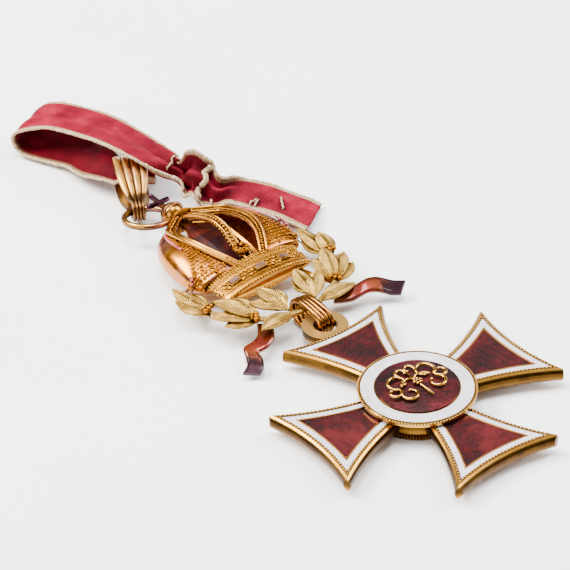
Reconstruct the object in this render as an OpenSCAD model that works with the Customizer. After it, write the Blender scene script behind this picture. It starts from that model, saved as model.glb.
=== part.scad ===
// Neck badge: an enamelled cross on a laurel wreath and a crown, hung from a folded ribbon.
// It lies on its back: the floor is z = 0, the crown is towards +Y and the face looks up.

/* [Cross] */
// Width of the cross over opposite arm tips
cross_w = 52; // [46:0.5:60]
// Width of one arm over its two tips
tip_w = 23.2; // [20:0.2:25]
// Width of one arm beside the medallion
neck_w = 9.4; // [8:0.2:11]
// How far the outer edge of an arm curves in
edge_dip = 1.6; // [1:0.1:2.2]
// How far the long sides of an arm curve in
side_dip = 0.65; // [0.4:0.05:1]
// Thickness of the arms
cross_t = 3; // [2.6:0.1:3.6]
// How far the wall of the arms swells out between its two rims
wall_swell = 0.8; // [0.4:0.05:1]
// Width of the gold rim round each arm
rim_w = 0.5; // [0.4:0.05:0.8]
// Width of the white enamel border
white_w = 1.4; // [1:0.05:1.8]
// Width of the gold line between white and red enamel
line_w = 0.22; // [0.15:0.01:0.35]
// Depth of the enamel
enamel_t = 0.5; // [0.35:0.05:0.7]

/* [Medallions] */
// Diameter of the front medallion over its rim
medal_d = 23; // [20:0.2:25]
// Height of the front medallion's rim
medal_t = 1.2; // [1:0.05:1.6]
// Width of the white ring on the front medallion
ring_w = 2.6; // [2:0.1:3.2]
// Rise of the red centre from its edge to its middle
centre_rise = 0.7; // [0.4:0.05:1]
// Diameter of the reverse medallion
back_d = 20; // [18:0.2:22]
// Thickness of the reverse medallion
back_t = 1.25; // [1:0.05:1.6]
// Wire of the scrollwork on the red centre
scroll_wire = 0.55; // [0.4:0.05:0.7]

/* [Eye and knot] */
// Outer diameter of the flat eye on the top arm
eye_d = 9.4; // [8.4:0.1:10.4]
// Hole of the eye
eye_hole = 4.9; // [4.6:0.1:5.4]
// Thickness of the eye
eye_t = 1.6; // [1.2:0.1:2]
// Length of the wound knot
knot_l = 10.8; // [10.4:0.1:12]
// Height of the wound knot
knot_h = 6.6; // [6:0.1:7.2]
// Wire of the knot
knot_wire = 0.95; // [0.8:0.05:1]

/* [Wreath] */
// Radius of the wreath along its stems
wreath_r = 16.2; // [15.4:0.1:17]
// Thickness of the stems
stem_d = 1.3; // [1:0.1:1.6]
// Length of a leaf
leaf_l = 10; // [9:0.1:11]
// Width of a leaf
leaf_w = 3.9; // [3.4:0.1:4.4]
// Thickness of a leaf
leaf_t = 1.1; // [0.8:0.1:1.4]
// Turn of crown and wreath against the cross, in degrees
top_turn = 2; // [0:0.5:5]

/* [Lappets] */
// Width of an enamelled lappet
lappet_w = 3.4; // [3:0.1:3.8]
// Thickness of a lappet
lappet_t = 0.8; // [0.6:0.05:1]

/* [Crown] */
// Length of the crown from the band to the top of its halves
crown_l = 31; // [28:0.5:34]
// Width of the band
band_w = 21; // [19:0.2:22.4]
// Height of the front arch over the crown's middle
crown_front = 6.3; // [5.6:0.1:7]
// Depth of the flatter back of the crown under its middle
crown_back = 4.5; // [4.2:0.1:5]
// Width over the two side halves
dome_w = 27.4; // [26:0.2:29]
// Metal thickness of the crown's shells
shell_t = 0.8; // [0.6:0.05:1.1]
// Width of the ornamented strips on the halves
strip_w = 2; // [1.7:0.1:2.3]
// Width of the high arch
arch_w = 1.9; // [1.6:0.1:2.2]
// Diameter of the orb
orb_d = 5.2; // [4.8:0.1:5.6]

/* [Hanger] */
// Middle diameter of the suspension ring
hang_d = 10; // [9.6:0.1:11]
// Wire of the suspension ring
hang_wire = 1.4; // [1.2:0.05:1.6]
// Length of the ribbed clasp from the ring's wire to its far end
clasp_l = 18.5; // [17:0.1:20]
// Width of the ribbed clasp at its far end
clasp_w = 7; // [6.2:0.1:7.6]
// Thickness of the clasp's wall
clasp_t = 0.8; // [0.6:0.05:1]

/* [Ribbon] */
// Width of the ribbon
ribbon_w = 12.5; // [11:0.1:14]
// Thickness of the ribbon's wall
ribbon_t = 1; // [0.8:0.05:1.3]
// Length of the ribbon's loop
loop_l = 44; // [40:0.5:48]

/* [Hidden] */

// clearance between a piece and its seat
seat = 0.03;
gold = [0.86, 0.66, 0.28];
pale_gold = [0.85, 0.78, 0.52];
red = [0.5, 0.08, 0.1];
white = [0.93, 0.93, 0.95];

// the cross: heights and the circles that its edges follow
half = cross_w / 2;
arm_z = back_t + 0.05;
top_z = arm_z + cross_t;
neck_y = 0.47 * medal_d;
tip_r = norm([tip_w / 2, half]);
edge_r = (tip_w * tip_w / 4 + edge_dip * edge_dip) / (2 * edge_dip);
edge_cy = half - edge_dip + edge_r;
side_run = [tip_w / 2 - neck_w / 2, half - neck_y];
side_l = norm(side_run);
side_r = (side_l * side_l / 4 + side_dip * side_dip) / (2 * side_dip);
side_out = [side_run[1], -side_run[0]] / side_l;
side_mid = [tip_w / 2 + neck_w / 2, half + neck_y] / 2;
side_c = side_mid + side_out * (side_r - side_dip);
// rows of the wall's swell: height share, swell share
wall_form = [[0, 0], [0.1, 0.5], [0.3, 0.92], [0.5, 1], [0.7, 0.92], [0.9, 0.5], [1, 0]];
hub_d = back_d - 1.2;
field_r = medal_d / 2 - 1.1;
far = 3 * half;

// the eye, the knot and the foot of the wreath
eye_y = half - edge_dip + eye_d / 2 - 0.4;
eye_z = arm_z + cross_t / 2;
knot_y = eye_y - knot_wire / 2 + knot_l / 2 - 0.5;
foot_y = eye_y + eye_d / 2 + stem_d / 2 + 0.35;
foot_z = crown_back + 0.05;

// the crown: its own axis starts at the wreath's foot
band_y = wreath_r * 0.74;
crown_z = foot_z;
orb_y = band_y + crown_l + orb_d * 0.38;
orb_at = [-orb_y * sin(top_turn), foot_y + orb_y * cos(top_turn), crown_z - 0.3];

// the suspension ring runs through the orb and falls away on the clasp's side
hang_tilt = 11;
hang_fall = 54;
hang_turn = 154;
hang_c = orb_at + (hang_d / 2 + orb_d * 0.06) * [cos(hang_turn), sin(hang_turn), 0] - [0, 0, 0.15];
function on_ring(q) = let (c = cos(q) * cos(hang_tilt), s = sin(q))
    hang_c + hang_d / 2 * [c * cos(hang_fall) - s * sin(hang_fall), c * sin(hang_fall) + s * cos(hang_fall),
        -cos(q) * sin(hang_tilt)];
// where the clasp hangs on the ring's wire
clasp_at = on_ring(24);

// Smooth curve through the rows of a table
function between(a, b, c, d, t) = 0.5 * (2 * b + (c - a) * t + (2 * a - 5 * b + 4 * c - d) * t * t
    + (3 * b - a - 3 * c + d) * t * t * t);
function smooth(rows, steps) = let (n = len(rows) - 1) concat(
    [for (i = [0 : n - 1]) for (k = [0 : steps - 1])
        between(rows[max(i - 1, 0)], rows[i], rows[i + 1], rows[min(i + 2, n)], k / steps)],
    [rows[n]]);
function unit(v) = v / norm(v);
function head(v) = [v[0], v[1], v[2]];

function total(v, i = 0) = i < len(v) ? v[i] + total(v, i + 1) : 0;

// Solid whose skin runs through equal rings of points; closed joins the last ring to the first
module skin(rings, closed = false) {
    n = len(rings[0]);
    m = len(rings);
    points = [for (r = rings) each r];
    sides = [for (i = [0 : m - (closed ? 1 : 2)]) for (j = [0 : n - 1])
        let (k = (i + 1) % m, l = (j + 1) % n) each
            [[i * n + j, i * n + l, k * n + l], [i * n + j, k * n + l, k * n + j]]];
    ends = closed ? [] : [[for (j = [n - 1 : -1 : 0]) j], [for (j = [0 : n - 1]) (m - 1) * n + j]];
    faces = concat(sides, ends);
    // six times the volume: its sign tells which way round the faces run
    size = total([for (f = faces) for (k = [1 : len(f) - 2]) (points[f[0]] - points[0])
        * cross(points[f[k]] - points[0], points[f[k + 1]] - points[0])]);
    polyhedron(points = points, convexity = 8,
        faces = size < 0 ? faces : [for (f = faces) [for (k = [len(f) - 1 : -1 : 0]) f[k]]]);
}

// Rings of a profile set square to a path; up gives the profile's second direction
function along(path, profile, up, closed = false) = let (m = len(path))
    [for (i = [0 : m - 1]) let (
        a = path[closed ? (i + m - 1) % m : max(i - 1, 0)],
        b = path[closed ? (i + 1) % m : min(i + 1, m - 1)],
        t = unit(b - a), s = unit(cross(up[i], t)), u = cross(t, s))
        [for (p = profile[i]) path[i] + s * p[0] + u * p[1]]];
function round_profile(d, n) = [for (k = [0 : n - 1]) d / 2 * [cos(360 * k / n), sin(360 * k / n)]];

// Small low-sided granule, hulled so that a node of many granules stays one mesh
module granule(d) hull() sphere(d = d, $fn = 6);

// Cross

module edge_cutter(r) rotate_extrude($fn = 180)
    polygon(concat([[0, arm_z - 1], [r, arm_z - 1]],
        [for (s = wall_form) [r - wall_swell * s[1], arm_z + cross_t * s[0]]],
        [[r, top_z + 1], [0, top_z + 1]]));

module arm_blank() polygon([[-neck_w / 2 - 1, 0], [neck_w / 2 + 1, 0],
    [tip_w / 2 + 4, half + 4], [-tip_w / 2 - 4, half + 4]]);

module arm() difference() {
    translate([0, 0, arm_z]) linear_extrude(height = cross_t) arm_blank();
    translate([0, edge_cy, 0]) edge_cutter(edge_r);
    for (s = [-1, 1]) translate([s * side_c[0], side_c[1], 0]) edge_cutter(side_r);
}

// Outline of an arm drawn in from its rim, open to the medallion
module field(inset) difference() {
    arm_blank();
    translate([0, edge_cy]) circle(r = edge_r + inset, $fn = 180);
    for (s = [-1, 1]) translate([s * side_c[0], side_c[1]]) circle(r = side_r + inset, $fn = 180);
    circle(r = field_r + (inset > rim_w + seat / 2 ? seat : 0), $fn = 120);
}
red_in = rim_w + white_w + line_w;
module white_field(gap) difference() {
    field(rim_w + gap);
    field(rim_w + white_w - gap);
}

module pockets() {
    linear_extrude(height = enamel_t + 1) white_field(0);
    linear_extrude(height = enamel_t + 1) field(red_in);
}

// Enamel of one arm, face up or face down
module enamel(turn, down) rotate(turn) translate([0, 0, down ? arm_z + 0.1 : top_z - enamel_t + seat])
    linear_extrude(height = enamel_t - 0.1 - seat) children();

module cross_body() color(gold) difference() {
    union() {
        intersection() {
            for (k = [0 : 3]) rotate(90 * k) arm();
            cylinder(r = tip_r + 0.5, h = far, $fn = 180);
        }
        translate([0, 0, arm_z]) cylinder(d = hub_d, h = cross_t, $fn = 120);
        translate([0, eye_y, eye_z - eye_t / 2]) cylinder(d = eye_d, h = eye_t, $fn = 96);
    }
    for (k = [0 : 3]) rotate(90 * k) translate([0, 0, top_z - enamel_t]) pockets();
    for (k = [0 : 3]) rotate(90 * k) translate([0, 0, arm_z - 1]) pockets();
    translate([0, eye_y, 0]) cylinder(d = eye_hole, h = far, $fn = 96);
}

module white_border(turn, down = false) color(white) enamel(turn, down) white_field(seat);
module red_panel(turn, down = false) color(red) enamel(turn, down) field(red_in + seat);

// Medallions

medal_z = top_z + seat;
floor_z = medal_z + medal_t * 0.45;
ring_out = medal_d / 2 - 0.6;
ring_in = ring_out - ring_w;
centre_r = ring_in - line_w;
module front_medallion() color(gold) difference() {
    rotate_extrude($fn = 180) polygon([[0, medal_z], [medal_d / 2 - 0.5, medal_z],
        [medal_d / 2, medal_z + 0.3 * medal_t], [medal_d / 2, medal_z + 0.75 * medal_t],
        [medal_d / 2 - 0.3, medal_z + medal_t], [0, medal_z + medal_t]]);
    translate([0, 0, floor_z]) difference() {
        cylinder(r = ring_out, h = medal_t, $fn = 180);
        translate([0, 0, -1]) cylinder(r = ring_in, h = medal_t + 2, $fn = 180);
    }
    translate([0, 0, floor_z]) cylinder(r = centre_r, h = medal_t, $fn = 180);
}

module white_ring() color(white) translate([0, 0, floor_z + seat]) difference() {
    cylinder(r = ring_out - seat, h = 0.55 * medal_t - 0.1, $fn = 180);
    translate([0, 0, -1]) cylinder(r = ring_in + seat, h = medal_t + 2, $fn = 180);
}

centre_z = medal_z + medal_t + 0.15;
dome_r = (pow(centre_r - seat, 2) + centre_rise * centre_rise) / (2 * centre_rise);
module red_centre() color(red) union() {
    translate([0, 0, floor_z + seat])
        cylinder(r = centre_r - seat, h = centre_z - floor_z - seat + 0.01, $fn = 180);
    intersection() {
        translate([0, 0, centre_z + centre_rise - dome_r]) sphere(r = dome_r, $fn = 180);
        translate([0, 0, centre_z]) cylinder(r = centre_r - seat, h = centre_rise + 1, $fn = 180);
    }
}

// rows of the scrollwork's curls: x and y of the curl's middle, its radius, its start and its sweep
// lengths are shares of the red centre's radius, angles are degrees
curls = [[0.4, 0.24, 0.27, -60, 300], [0.4, -0.26, 0.22, 60, -300], [0.68, -0.02, 0.17, 150, 280],
    [0.12, -0.02, 0.3, 20, 110], [0.12, 0.48, 0.14, -30, 240]];
scroll_z = centre_z + centre_rise + scroll_wire / 2 + seat;
curl_steps = 7;
module scrollwork() color(gold) {
    for (s = [-1, 1]) for (c = curls) {
        path = [for (k = [0 : curl_steps]) let (a = c[3] + c[4] * k / curl_steps,
            r = c[2] * (1 - 0.35 * k / curl_steps))
            centre_r * [s * (c[0] + r * cos(a)), c[1] + r * sin(a), 0.013 * c[1] + 0.004 * s]
                + [0, 0, scroll_z]];
        skin(along(path, [for (k = [0 : curl_steps]) round_profile(scroll_wire * (1.1 - 0.04 * k), 5)],
            [for (p = path) [0, 0, 1]]));
    }
    for (a = [0 : 60 : 300]) translate([0, 0, scroll_z + scroll_wire * 0.4]) rotate(a)
        translate([centre_r * 0.09, 0, 0]) granule(scroll_wire * 1.7);
    bar = [[0, -centre_r * 0.61, scroll_z - 0.02], [0, centre_r * 0.41, scroll_z + 0.03]];
    skin(along(bar, [for (p = bar) round_profile(scroll_wire * 0.9, 8)], [for (p = bar) [0, 0, 1]]));
}

module back_medallion() color(gold) rotate_extrude($fn = 180)
    polygon([[0, 0], [back_d / 2 - 1.4, 0], [back_d / 2 - 1.2, 0.2], [back_d / 2 - 0.4, 0.2],
        [back_d / 2, 0.45], [back_d / 2, back_t - 0.3], [back_d / 2 - 0.4, back_t], [0, back_t]]);

// Knot

// One ribbed band of wound wires, closed round the eye's rim and the wreath's foot
knot_n = 4;
knot_ribs = [for (k = [0 : knot_n - 1]) for (a = [150, 90, 30])
    knot_wire * [knot_n / 2 - 0.5 - k + 0.5 * cos(180 - a), 0.12 + 0.5 * sin(a)]];
knot_section = concat(knot_ribs, knot_wire * [[-knot_n / 2 + 0.1, -0.3], [knot_n / 2 - 0.1, -0.3]]);
module knot() color([0.78, 0.52, 0.3]) {
    steps = 22;
    a = knot_l / 2 - knot_wire * 0.62;
    b = knot_h / 2 - knot_wire * 0.62;
    path = [for (k = [0 : steps - 1]) let (q = 360 * k / steps, c = cos(q), s = sin(q))
        [0.12 * knot_wire * s, knot_y + a * sign(c) * pow(abs(c), 0.85),
            knot_h / 2 + 0.15 + b * sign(s) * pow(abs(s), 0.85)]];
    skin(along(path, [for (k = path) knot_section],
        [for (p = path) unit([0, (p[1] - knot_y) / a, (p[2] - knot_h / 2 - 0.15) / b * a / b])], true), true);
}

// Wreath

module top_part() translate([0, foot_y, 0]) rotate(top_turn) children();

// rows of a leaf: length share, half width share, rib share
leaf_form = [[0, 0.12, 0.35], [0.18, 0.55, 0.8], [0.42, 0.98, 1], [0.66, 0.86, 0.9], [0.87, 0.4, 0.6],
    [1, 0.04, 0.2]];
module leaf(l, w, curl) skin([for (r = leaf_form) let (z = curl * r[0] * (1.6 - r[0]))
    [[w / 2 * r[1], l * r[0], z], [w / 4 * r[1], l * r[0], z + leaf_t * 0.28 * r[2]],
        [0, l * r[0], z + leaf_t * 0.5 * r[2]], [-w / 4 * r[1], l * r[0], z + leaf_t * 0.28 * r[2]],
        [-w / 2 * r[1], l * r[0], z], [0, l * r[0], z - leaf_t * 0.5 * r[2]]]]);

// rows of the leaves on one branch: turn along the stem, side step, aim, length share, height of the
// base over the stem, lift of the tip; steps, heights and lifts are shares of the stem's thickness
leaves = [[11, 0, 16, 0.9, 0.03, 0.6], [13, -0.9, -36, 0.82, 0.06, 1.15], [14, -1.4, -68, 0.84, 0.0, 1.6],
    [15, -1.8, -90, 0.53, -0.02, 1.15], [37, -0.6, -42, 0.72, 0.02, 1.35],
    [37, -0.25, -24, 1.03, 0.15, 1.45], [38, 0.15, -1, 0.95, 0.0, 0.85],
    [38, 0.5, 15, 0.68, -0.08, 0.45], [74, 0.3, -15, 1.18, -0.71, 0.45],
    [73, 0.5, -2, 0.85, -0.45, 0.3], [76, 0, -27, 0.75, -0.71, 0.15]];
// turns along the stem where beads tie the leaves
ties = [39, 75];
stem_end = 78;
function on_stem(a, out = 0) = [(wreath_r + out) * sin(a), wreath_r - (wreath_r + out) * cos(a), foot_z];
module branch() {
    path = [for (k = [0 : 12]) on_stem(-4 + (stem_end + 4) * k / 12)];
    skin(along(path, [for (k = [0 : 12]) round_profile(stem_d * (1 - 0.03 * k), 6)],
        [for (k = [0 : 12]) [0, 0, 1]]));
    for (r = leaves) translate(on_stem(r[0], stem_d * r[1]) + [0, 0, stem_d * r[4]])
        rotate(r[0] - 90 - r[2]) leaf(leaf_l * r[3], leaf_w, stem_d * r[5]);
    for (a = ties) for (s = [-1, 0, 1]) translate(on_stem(a, s * stem_d * 0.75) + [0, 0, stem_d * 0.55])
        granule(stem_d * 1.05);
}
// bar between the wreath and the crown's band
module strut() skin(along([on_stem(ties[0] - 2), [band_w * 0.36, band_y - 0.25, crown_z - 0.9]],
    [round_profile(stem_d, 6), round_profile(stem_d, 6)], [[0, 0, 1], [0, 0, 1]]));
module wreath() color(pale_gold) top_part() {
    branch();
    mirror([1, 0, 0]) branch();
    strut();
    mirror([1, 0, 0]) strut();
}

// Lappets

// rows of a lappet's middle line: x, y and z in lappet widths from the wreath's foot, and turn of its width
lappet_left_rows = [[-2.7, 0.6, 0.95, -54], [-3.28, -0.3, 0.95, -52], [-3.96, -0.66, 0.88, -66],
    [-4.6, -0.66, 0.76, -62], [-4.85, -1.25, 0.64, -48], [-5.16, -1.8, 0.53, -48], [-5.68, -2.1, 0.42, -41]];
lappet_right_rows = [[2.27, 0.33, 0.95, 42], [2.83, -0.04, 0.97, 45], [3.24, -0.2, 1, 52],
    [3.77, -0.2, 1.05, 54], [4.34, -0.17, 1.05, 53], [4.85, -0.33, 1, 50], [5.22, -0.66, 0.91, 48],
    [5.56, -1.03, 0.82, 43], [6.11, -1.37, 0.76, 34]];
module lappet(rows, lean) color([0.6, 0.2, 0.1]) {
    mid = smooth(rows, 2);
    skin([for (r = mid) let (c = [0, foot_y, 0] + lappet_w * head(r),
        w = lappet_w / 2 * [cos(r[3]) * cos(lean), sin(r[3]) * cos(lean), sin(lean)],
        u = [0, 0, lappet_t / 2])
        [c + w + u, c + w - u, c - w - u, c - w + u]]);
}

// Crown

// rows of the crown's body: length share, half width share, half depth share
band_rows = [[0, 1, 0.26], [0.045, 1.02, 0.27], [0.16, 1.03, 0.34], [0.2, 1.06, 0.38], [0.23, 1.04, 0.38]];
function deep(s) = s > 0 ? crown_front : crown_back;
function lens(a, b, q) = [a * cos(q), b * deep(sin(q)) * sin(q) * (0.62 + 0.38 * abs(sin(q)))];
band_steps = 28;
band_depth = [1.15, 1.15, 1, 1.12, 1];
module band() {
    n = len(band_rows) - 1;
    skin([for (k = [0 : band_steps - 1]) let (q = 360 * k / band_steps) concat(
        [for (i = [0 : n]) let (r = band_rows[i], p = lens(band_w / 2 * r[1], r[2] * band_depth[i], q))
            [p[0], band_y + crown_l * r[0], crown_z + p[1]]],
        [for (i = [n : -2 : 0]) let (r = band_rows[i],
            p = lens(band_w / 2 * r[1] - shell_t, r[2] - shell_t / crown_back, q))
            [p[0], band_y + crown_l * r[0], crown_z + p[1]]])], true);
}

// rows of a side half: length share, gap share of the width, outer width share, half depth share
half_rows = [[0.2, 0.2, 0.92, 0.36], [0.28, 0.31, 0.99, 0.52], [0.38, 0.42, 1.01, 0.64],
    [0.5, 0.48, 1, 0.66], [0.62, 0.49, 0.95, 0.57], [0.73, 0.47, 0.85, 0.42], [0.81, 0.42, 0.7, 0.3],
    [0.87, 0.26, 0.48, 0.25], [0.93, 0.07, 0.26, 0.24]];
function half_point(r, q, t) = let (g = dome_w / 2 * r[1], a = dome_w / 2 * r[2] - g, b = deep(sin(q)) * r[3])
    [g + (a - t) * pow(max(cos(q), 0), 0.8), band_y + crown_l * r[0],
        crown_z + (b - t) * sign(q) * pow(abs(sin(q)), 0.75)];
module side_half() {
    rows = smooth(half_rows, 1);
    turns = [for (k = [0 : 10]) -90 + 18 * k];
    skin([for (r = rows) concat([for (q = turns) half_point(r, q, 0)],
        [for (k = [10 : -1 : 0]) half_point(r, turns[k], shell_t)])]);
    for (s = [-1, 1]) strip(s);
}

// Strip along a half's edge: two cords with granules between them
strip_section = [[-0.5, -0.3], [-0.5, 0.18], [-0.36, 0.32], [-0.22, 0.12], [0.22, 0.12], [0.36, 0.32],
    [0.5, 0.18], [0.5, -0.3]];
module strip(s) {
    rows = smooth(half_rows, 2);
    path = [for (r = rows) half_point(r, 90 * s, 0) + [strip_w * 0.35, 0, s * 0.1]];
    lean = [for (r = rows) unit([-0.35, 0, s])];
    skin(along(path, [for (r = rows) strip_w * strip_section], lean));
    if (s > 0) for (k = [1 : len(path) - 2]) translate(path[k] + strip_w * 0.22 * lean[k])
        granule(strip_w * 0.4);
}

// rows of the high arch: length share, height share
arch_rows = [[0.21, 0.38], [0.29, 0.42], [0.36, 0.52], [0.41, 0.68], [0.46, 0.88], [0.53, 1], [0.61, 0.99],
    [0.71, 0.83], [0.82, 0.55], [0.9, 0.3], [0.97, 0.12]];
module arch(s) {
    rows = smooth(arch_rows, 2);
    path = [for (r = rows) [0, band_y + crown_l * r[0], crown_z + s * (deep(s) - arch_w * 0.32) * r[1]]];
    mid = [0, band_y + crown_l * 0.6, crown_z];
    up = [for (p = path) unit(p - mid)];
    skin(along(path, [for (r = rows) arch_w * strip_section], up));
    if (s > 0) for (k = [2 : len(path) - 3]) translate(path[k] + arch_w * 0.2 * up[k]) granule(arch_w * 0.4);
}

// Leaf-shaped finial on the band, with a small one beside it
module finial(size) {
    translate([0, size * 0.1, 0]) granule(size * 0.6);
    for (a = [-65, 0, 65]) rotate(a) translate([0, size * 0.42, 0.1 * size]) granule(size * 0.5);
    translate([0, size * 0.22, size * 0.3]) granule(size * 0.34);
}
// rows of the finials: turn round the band, size as a share of a strip's width, length share, width share
finials = [[90, 2.1, 0.3, 1.05], [33, 1.7, 0.25, 1.05], [147, 1.7, 0.25, 1.05], [16, 1.7, 0.27, 1.26],
    [164, 1.7, 0.27, 1.26], [60, 1.4, 0.25, 1.05], [120, 1.4, 0.25, 1.05]];
module finial_row() for (f = finials) {
    p = lens(band_w / 2 * f[3], 0.42, f[0]);
    translate([p[0], band_y + crown_l * f[2], crown_z + p[1]])
        rotate([0, (90 - f[0]) * 0.75, 0]) finial(strip_w * f[1]);
}

module crown() color(gold) top_part() {
    band();
    side_half();
    mirror([1, 0, 0]) side_half();
    for (s = [-1, 1]) arch(s);
    finial_row();
    // the collar that carries the orb and joins the halves
    translate([0, band_y + crown_l * 0.94, crown_z]) rotate([-90, 0, 0])
        cylinder(d1 = orb_d * 1.15, d2 = orb_d * 0.7, h = crown_l * 0.06 - orb_d * 0.12 - seat, $fn = 16);
}

// Red cap between the halves, a low vault that rests on the high arch's back
// rows: length share, width share, height share
cap_rows = [[0.3, 0.5, 0.3], [0.38, 0.8, 0.45], [0.46, 0.95, 0.8], [0.54, 1, 1], [0.65, 0.93, 0.9],
    [0.76, 0.64, 0.64], [0.84, 0.36, 0.38]];
module crown_cap() color([0.4, 0.05, 0.06]) top_part()
    skin([for (r = cap_rows) [for (k = [0 : 11]) let (q = 30 * k)
        [dome_w * 0.17 * r[1] * cos(q), band_y + crown_l * r[0],
            crown_z + (sin(q) > 0 ? crown_front * 0.36 : crown_back * 0.7) * r[2] * sin(q)]]]);

// Enamel plaques on the front of the band
plaque_y = 0.1;
module plaque(q) color([0.8, 0.72, 0.82]) top_part() {
    p = lens(band_w / 2 * 1.03, 0.31, q);
    translate([p[0], band_y + crown_l * plaque_y, crown_z + p[1] + 0.42])
        rotate([8, (90 - q) * 0.4, 0]) cube([strip_w * 1.05, strip_w * 0.5, 0.4], center = true);
}

// Hanger

module ring_place() translate(hang_c) rotate([0, hang_tilt, hang_fall]) children();
module torus(d, wire) rotate_extrude($fn = 120) translate([d / 2, 0]) circle(d = wire, $fn = 48);

module orb() color(gold) difference() {
    union() {
        translate(orb_at) sphere(d = orb_d, $fn = 64);
        translate(orb_at) rotate([-90, 0, top_turn]) torus(orb_d, orb_d * 0.12);
        // the cross on the orb, with balls on two of its arms
        translate(orb_at + orb_d * [-0.12, 0.78, 0.2]) {
            translate([0, orb_d * 0.06, 0]) cube([orb_d * 0.15, orb_d, orb_d * 0.16], center = true);
            cube([orb_d * 0.94, orb_d * 0.16, orb_d * 0.15], center = true);
            for (p = [[0, 0.58], [-0.47, 0]])
                translate(orb_d * [p[0], p[1], 0]) sphere(d = orb_d * 0.22, $fn = 32);
        }
    }
    ring_place() torus(hang_d, hang_wire + 0.3);
}

module suspension_ring() color(gold) ring_place() torus(hang_d, hang_wire);

// rows of the clasp's outline: share of its length, sideways share, width share
clasp_rows = [[-0.104, 0, 0.4], [-0.078, 0.083, 0.4], [0, 0.109, 0.42], [0.07, 0.098, 0.52],
    [0.15, 0.095, 0.64], [0.26, 0.125, 0.8], [0.42, 0.158, 0.94], [0.6, 0.165, 1], [0.8, 0.145, 1],
    [0.94, 0.085, 1], [1, 0, 1]];
clasp_turn = 63;
clasp_lean = 3;
clasp_up = [cos(clasp_turn) * cos(clasp_lean), sin(clasp_turn) * cos(clasp_lean), sin(clasp_lean)];
clasp_hole = [sin(clasp_turn), -cos(clasp_turn), 0];
clasp_side = cross(clasp_hole, clasp_up);
clasp_n = 4;
clasp_section = concat([for (k = [0 : clasp_n - 1]) for (a = [150, 90, 30])
    [0.5 - (k + 0.5) / clasp_n + 0.5 / clasp_n * cos(180 - a), 0.12 + 0.5 * sin(a)]],
    [[-0.49, -0.35], [0.49, -0.35]]);
module ribbon_clasp() color(pale_gold) {
    n = len(clasp_rows) - 1;
    ring = concat([for (r = clasp_rows) r], [for (i = [n - 1 : -1 : 1])
        [clasp_rows[i][0], -clasp_rows[i][1], clasp_rows[i][2]]]);
    path = [for (r = ring) clasp_at + clasp_l * (r[0] * clasp_up + r[1] * clasp_side)];
    up = [for (i = [0 : len(ring) - 1]) let (a = path[(i + len(ring) - 1) % len(ring)],
        b = path[(i + 1) % len(ring)]) unit(cross(clasp_hole, b - a))];
    skin(along(path, [for (r = ring) [for (p = clasp_section) [clasp_w * r[2] * p[0], clasp_t * p[1]]]],
        up, true), true);
}

// Ribbon

// rows of the ribbon's middle line from the tail's end, round the loop to the gathered end:
// x, y and height from the clasp's ring end as shares of the loop's length, turn and lean of its
// width in degrees, and share of its full width
ribbon_rows = [
    [0.644, -0.557, 0.044, 39, -9, 1],
    [0.612, -0.42, 0.047, 39, -9, 1],
    [0.55, -0.29, 0.062, 40, -9, 1],
    [0.448, -0.186, 0.084, 41, -6, 0.95],
    [0.35, -0.168, 0.098, 40, 12, 0.66],
    [0.333, -0.103, 0.122, 36, 26, 0.76],
    [0.308, -0.082, 0.158, 40, 29, 0.8],
    [0.291, -0.046, 0.182, 51, 33, 0.8],
    [0.292, -0.008, 0.142, 58, 33, 0.7],
    [0.297, 0.027, 0.12, 57, 31, 0.55],
    [0.289, 0.068, 0.138, 43, 25, 0.38],
    [0.264, 0.111, 0.152, 22, 10, 0.42],
    [0.252, 0.195, 0.164, 8, -18, 0.88],
    [0.225, 0.427, 0.17, 10, -14, 1],
    [0.186, 0.657, 0.164, 14, -9, 1],
    [0.098, 0.845, 0.159, 22, -4, 1],
    [-0.002, 0.945, 0.141, 27, 0, 1],
    [-0.032, 0.966, 0.084, 29, 0, 1],
    [-0.007, 0.927, 0.03, 26, 0, 1],
    [0.032, 0.805, 0.022, 20, 2, 1],
    [0.091, 0.645, 0.032, 18, 5, 1],
    [0.084, 0.545, 0.05, 25, 8, 1],
    [0.064, 0.448, 0.07, 38, 8, 0.9],
    [0.064, 0.349, 0.086, 60, 5, 0.58],
    [0.113, 0.284, 0.093, 66, 3, 0.4],
    [0.175, 0.239, 0.095, 66, 2, 0.4],
    [0.23, 0.193, 0.089, 62, 0, 0.4]];
ribbon_at = [clasp_at[0], clasp_at[1], 0];
module ribbon() color([0.72, 0.15, 0.25]) {
    rows = smooth(ribbon_rows, 3);
    path = [for (r = rows) ribbon_at + loop_l * head(r)];
    n = len(path) - 1;
    skin([for (i = [0 : n]) let (r = rows[i],
        w = [cos(r[3]) * cos(r[4]), sin(r[3]) * cos(r[4]), sin(r[4])] * ribbon_w / 2 * r[5],
        t = path[min(i + 1, n)] - path[max(i - 1, 0)], u = unit(cross(w, t)) * ribbon_t / 2)
        [path[i] + w + u, path[i] + w - u, path[i] - w - u, path[i] - w + u]]);
}

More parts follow.
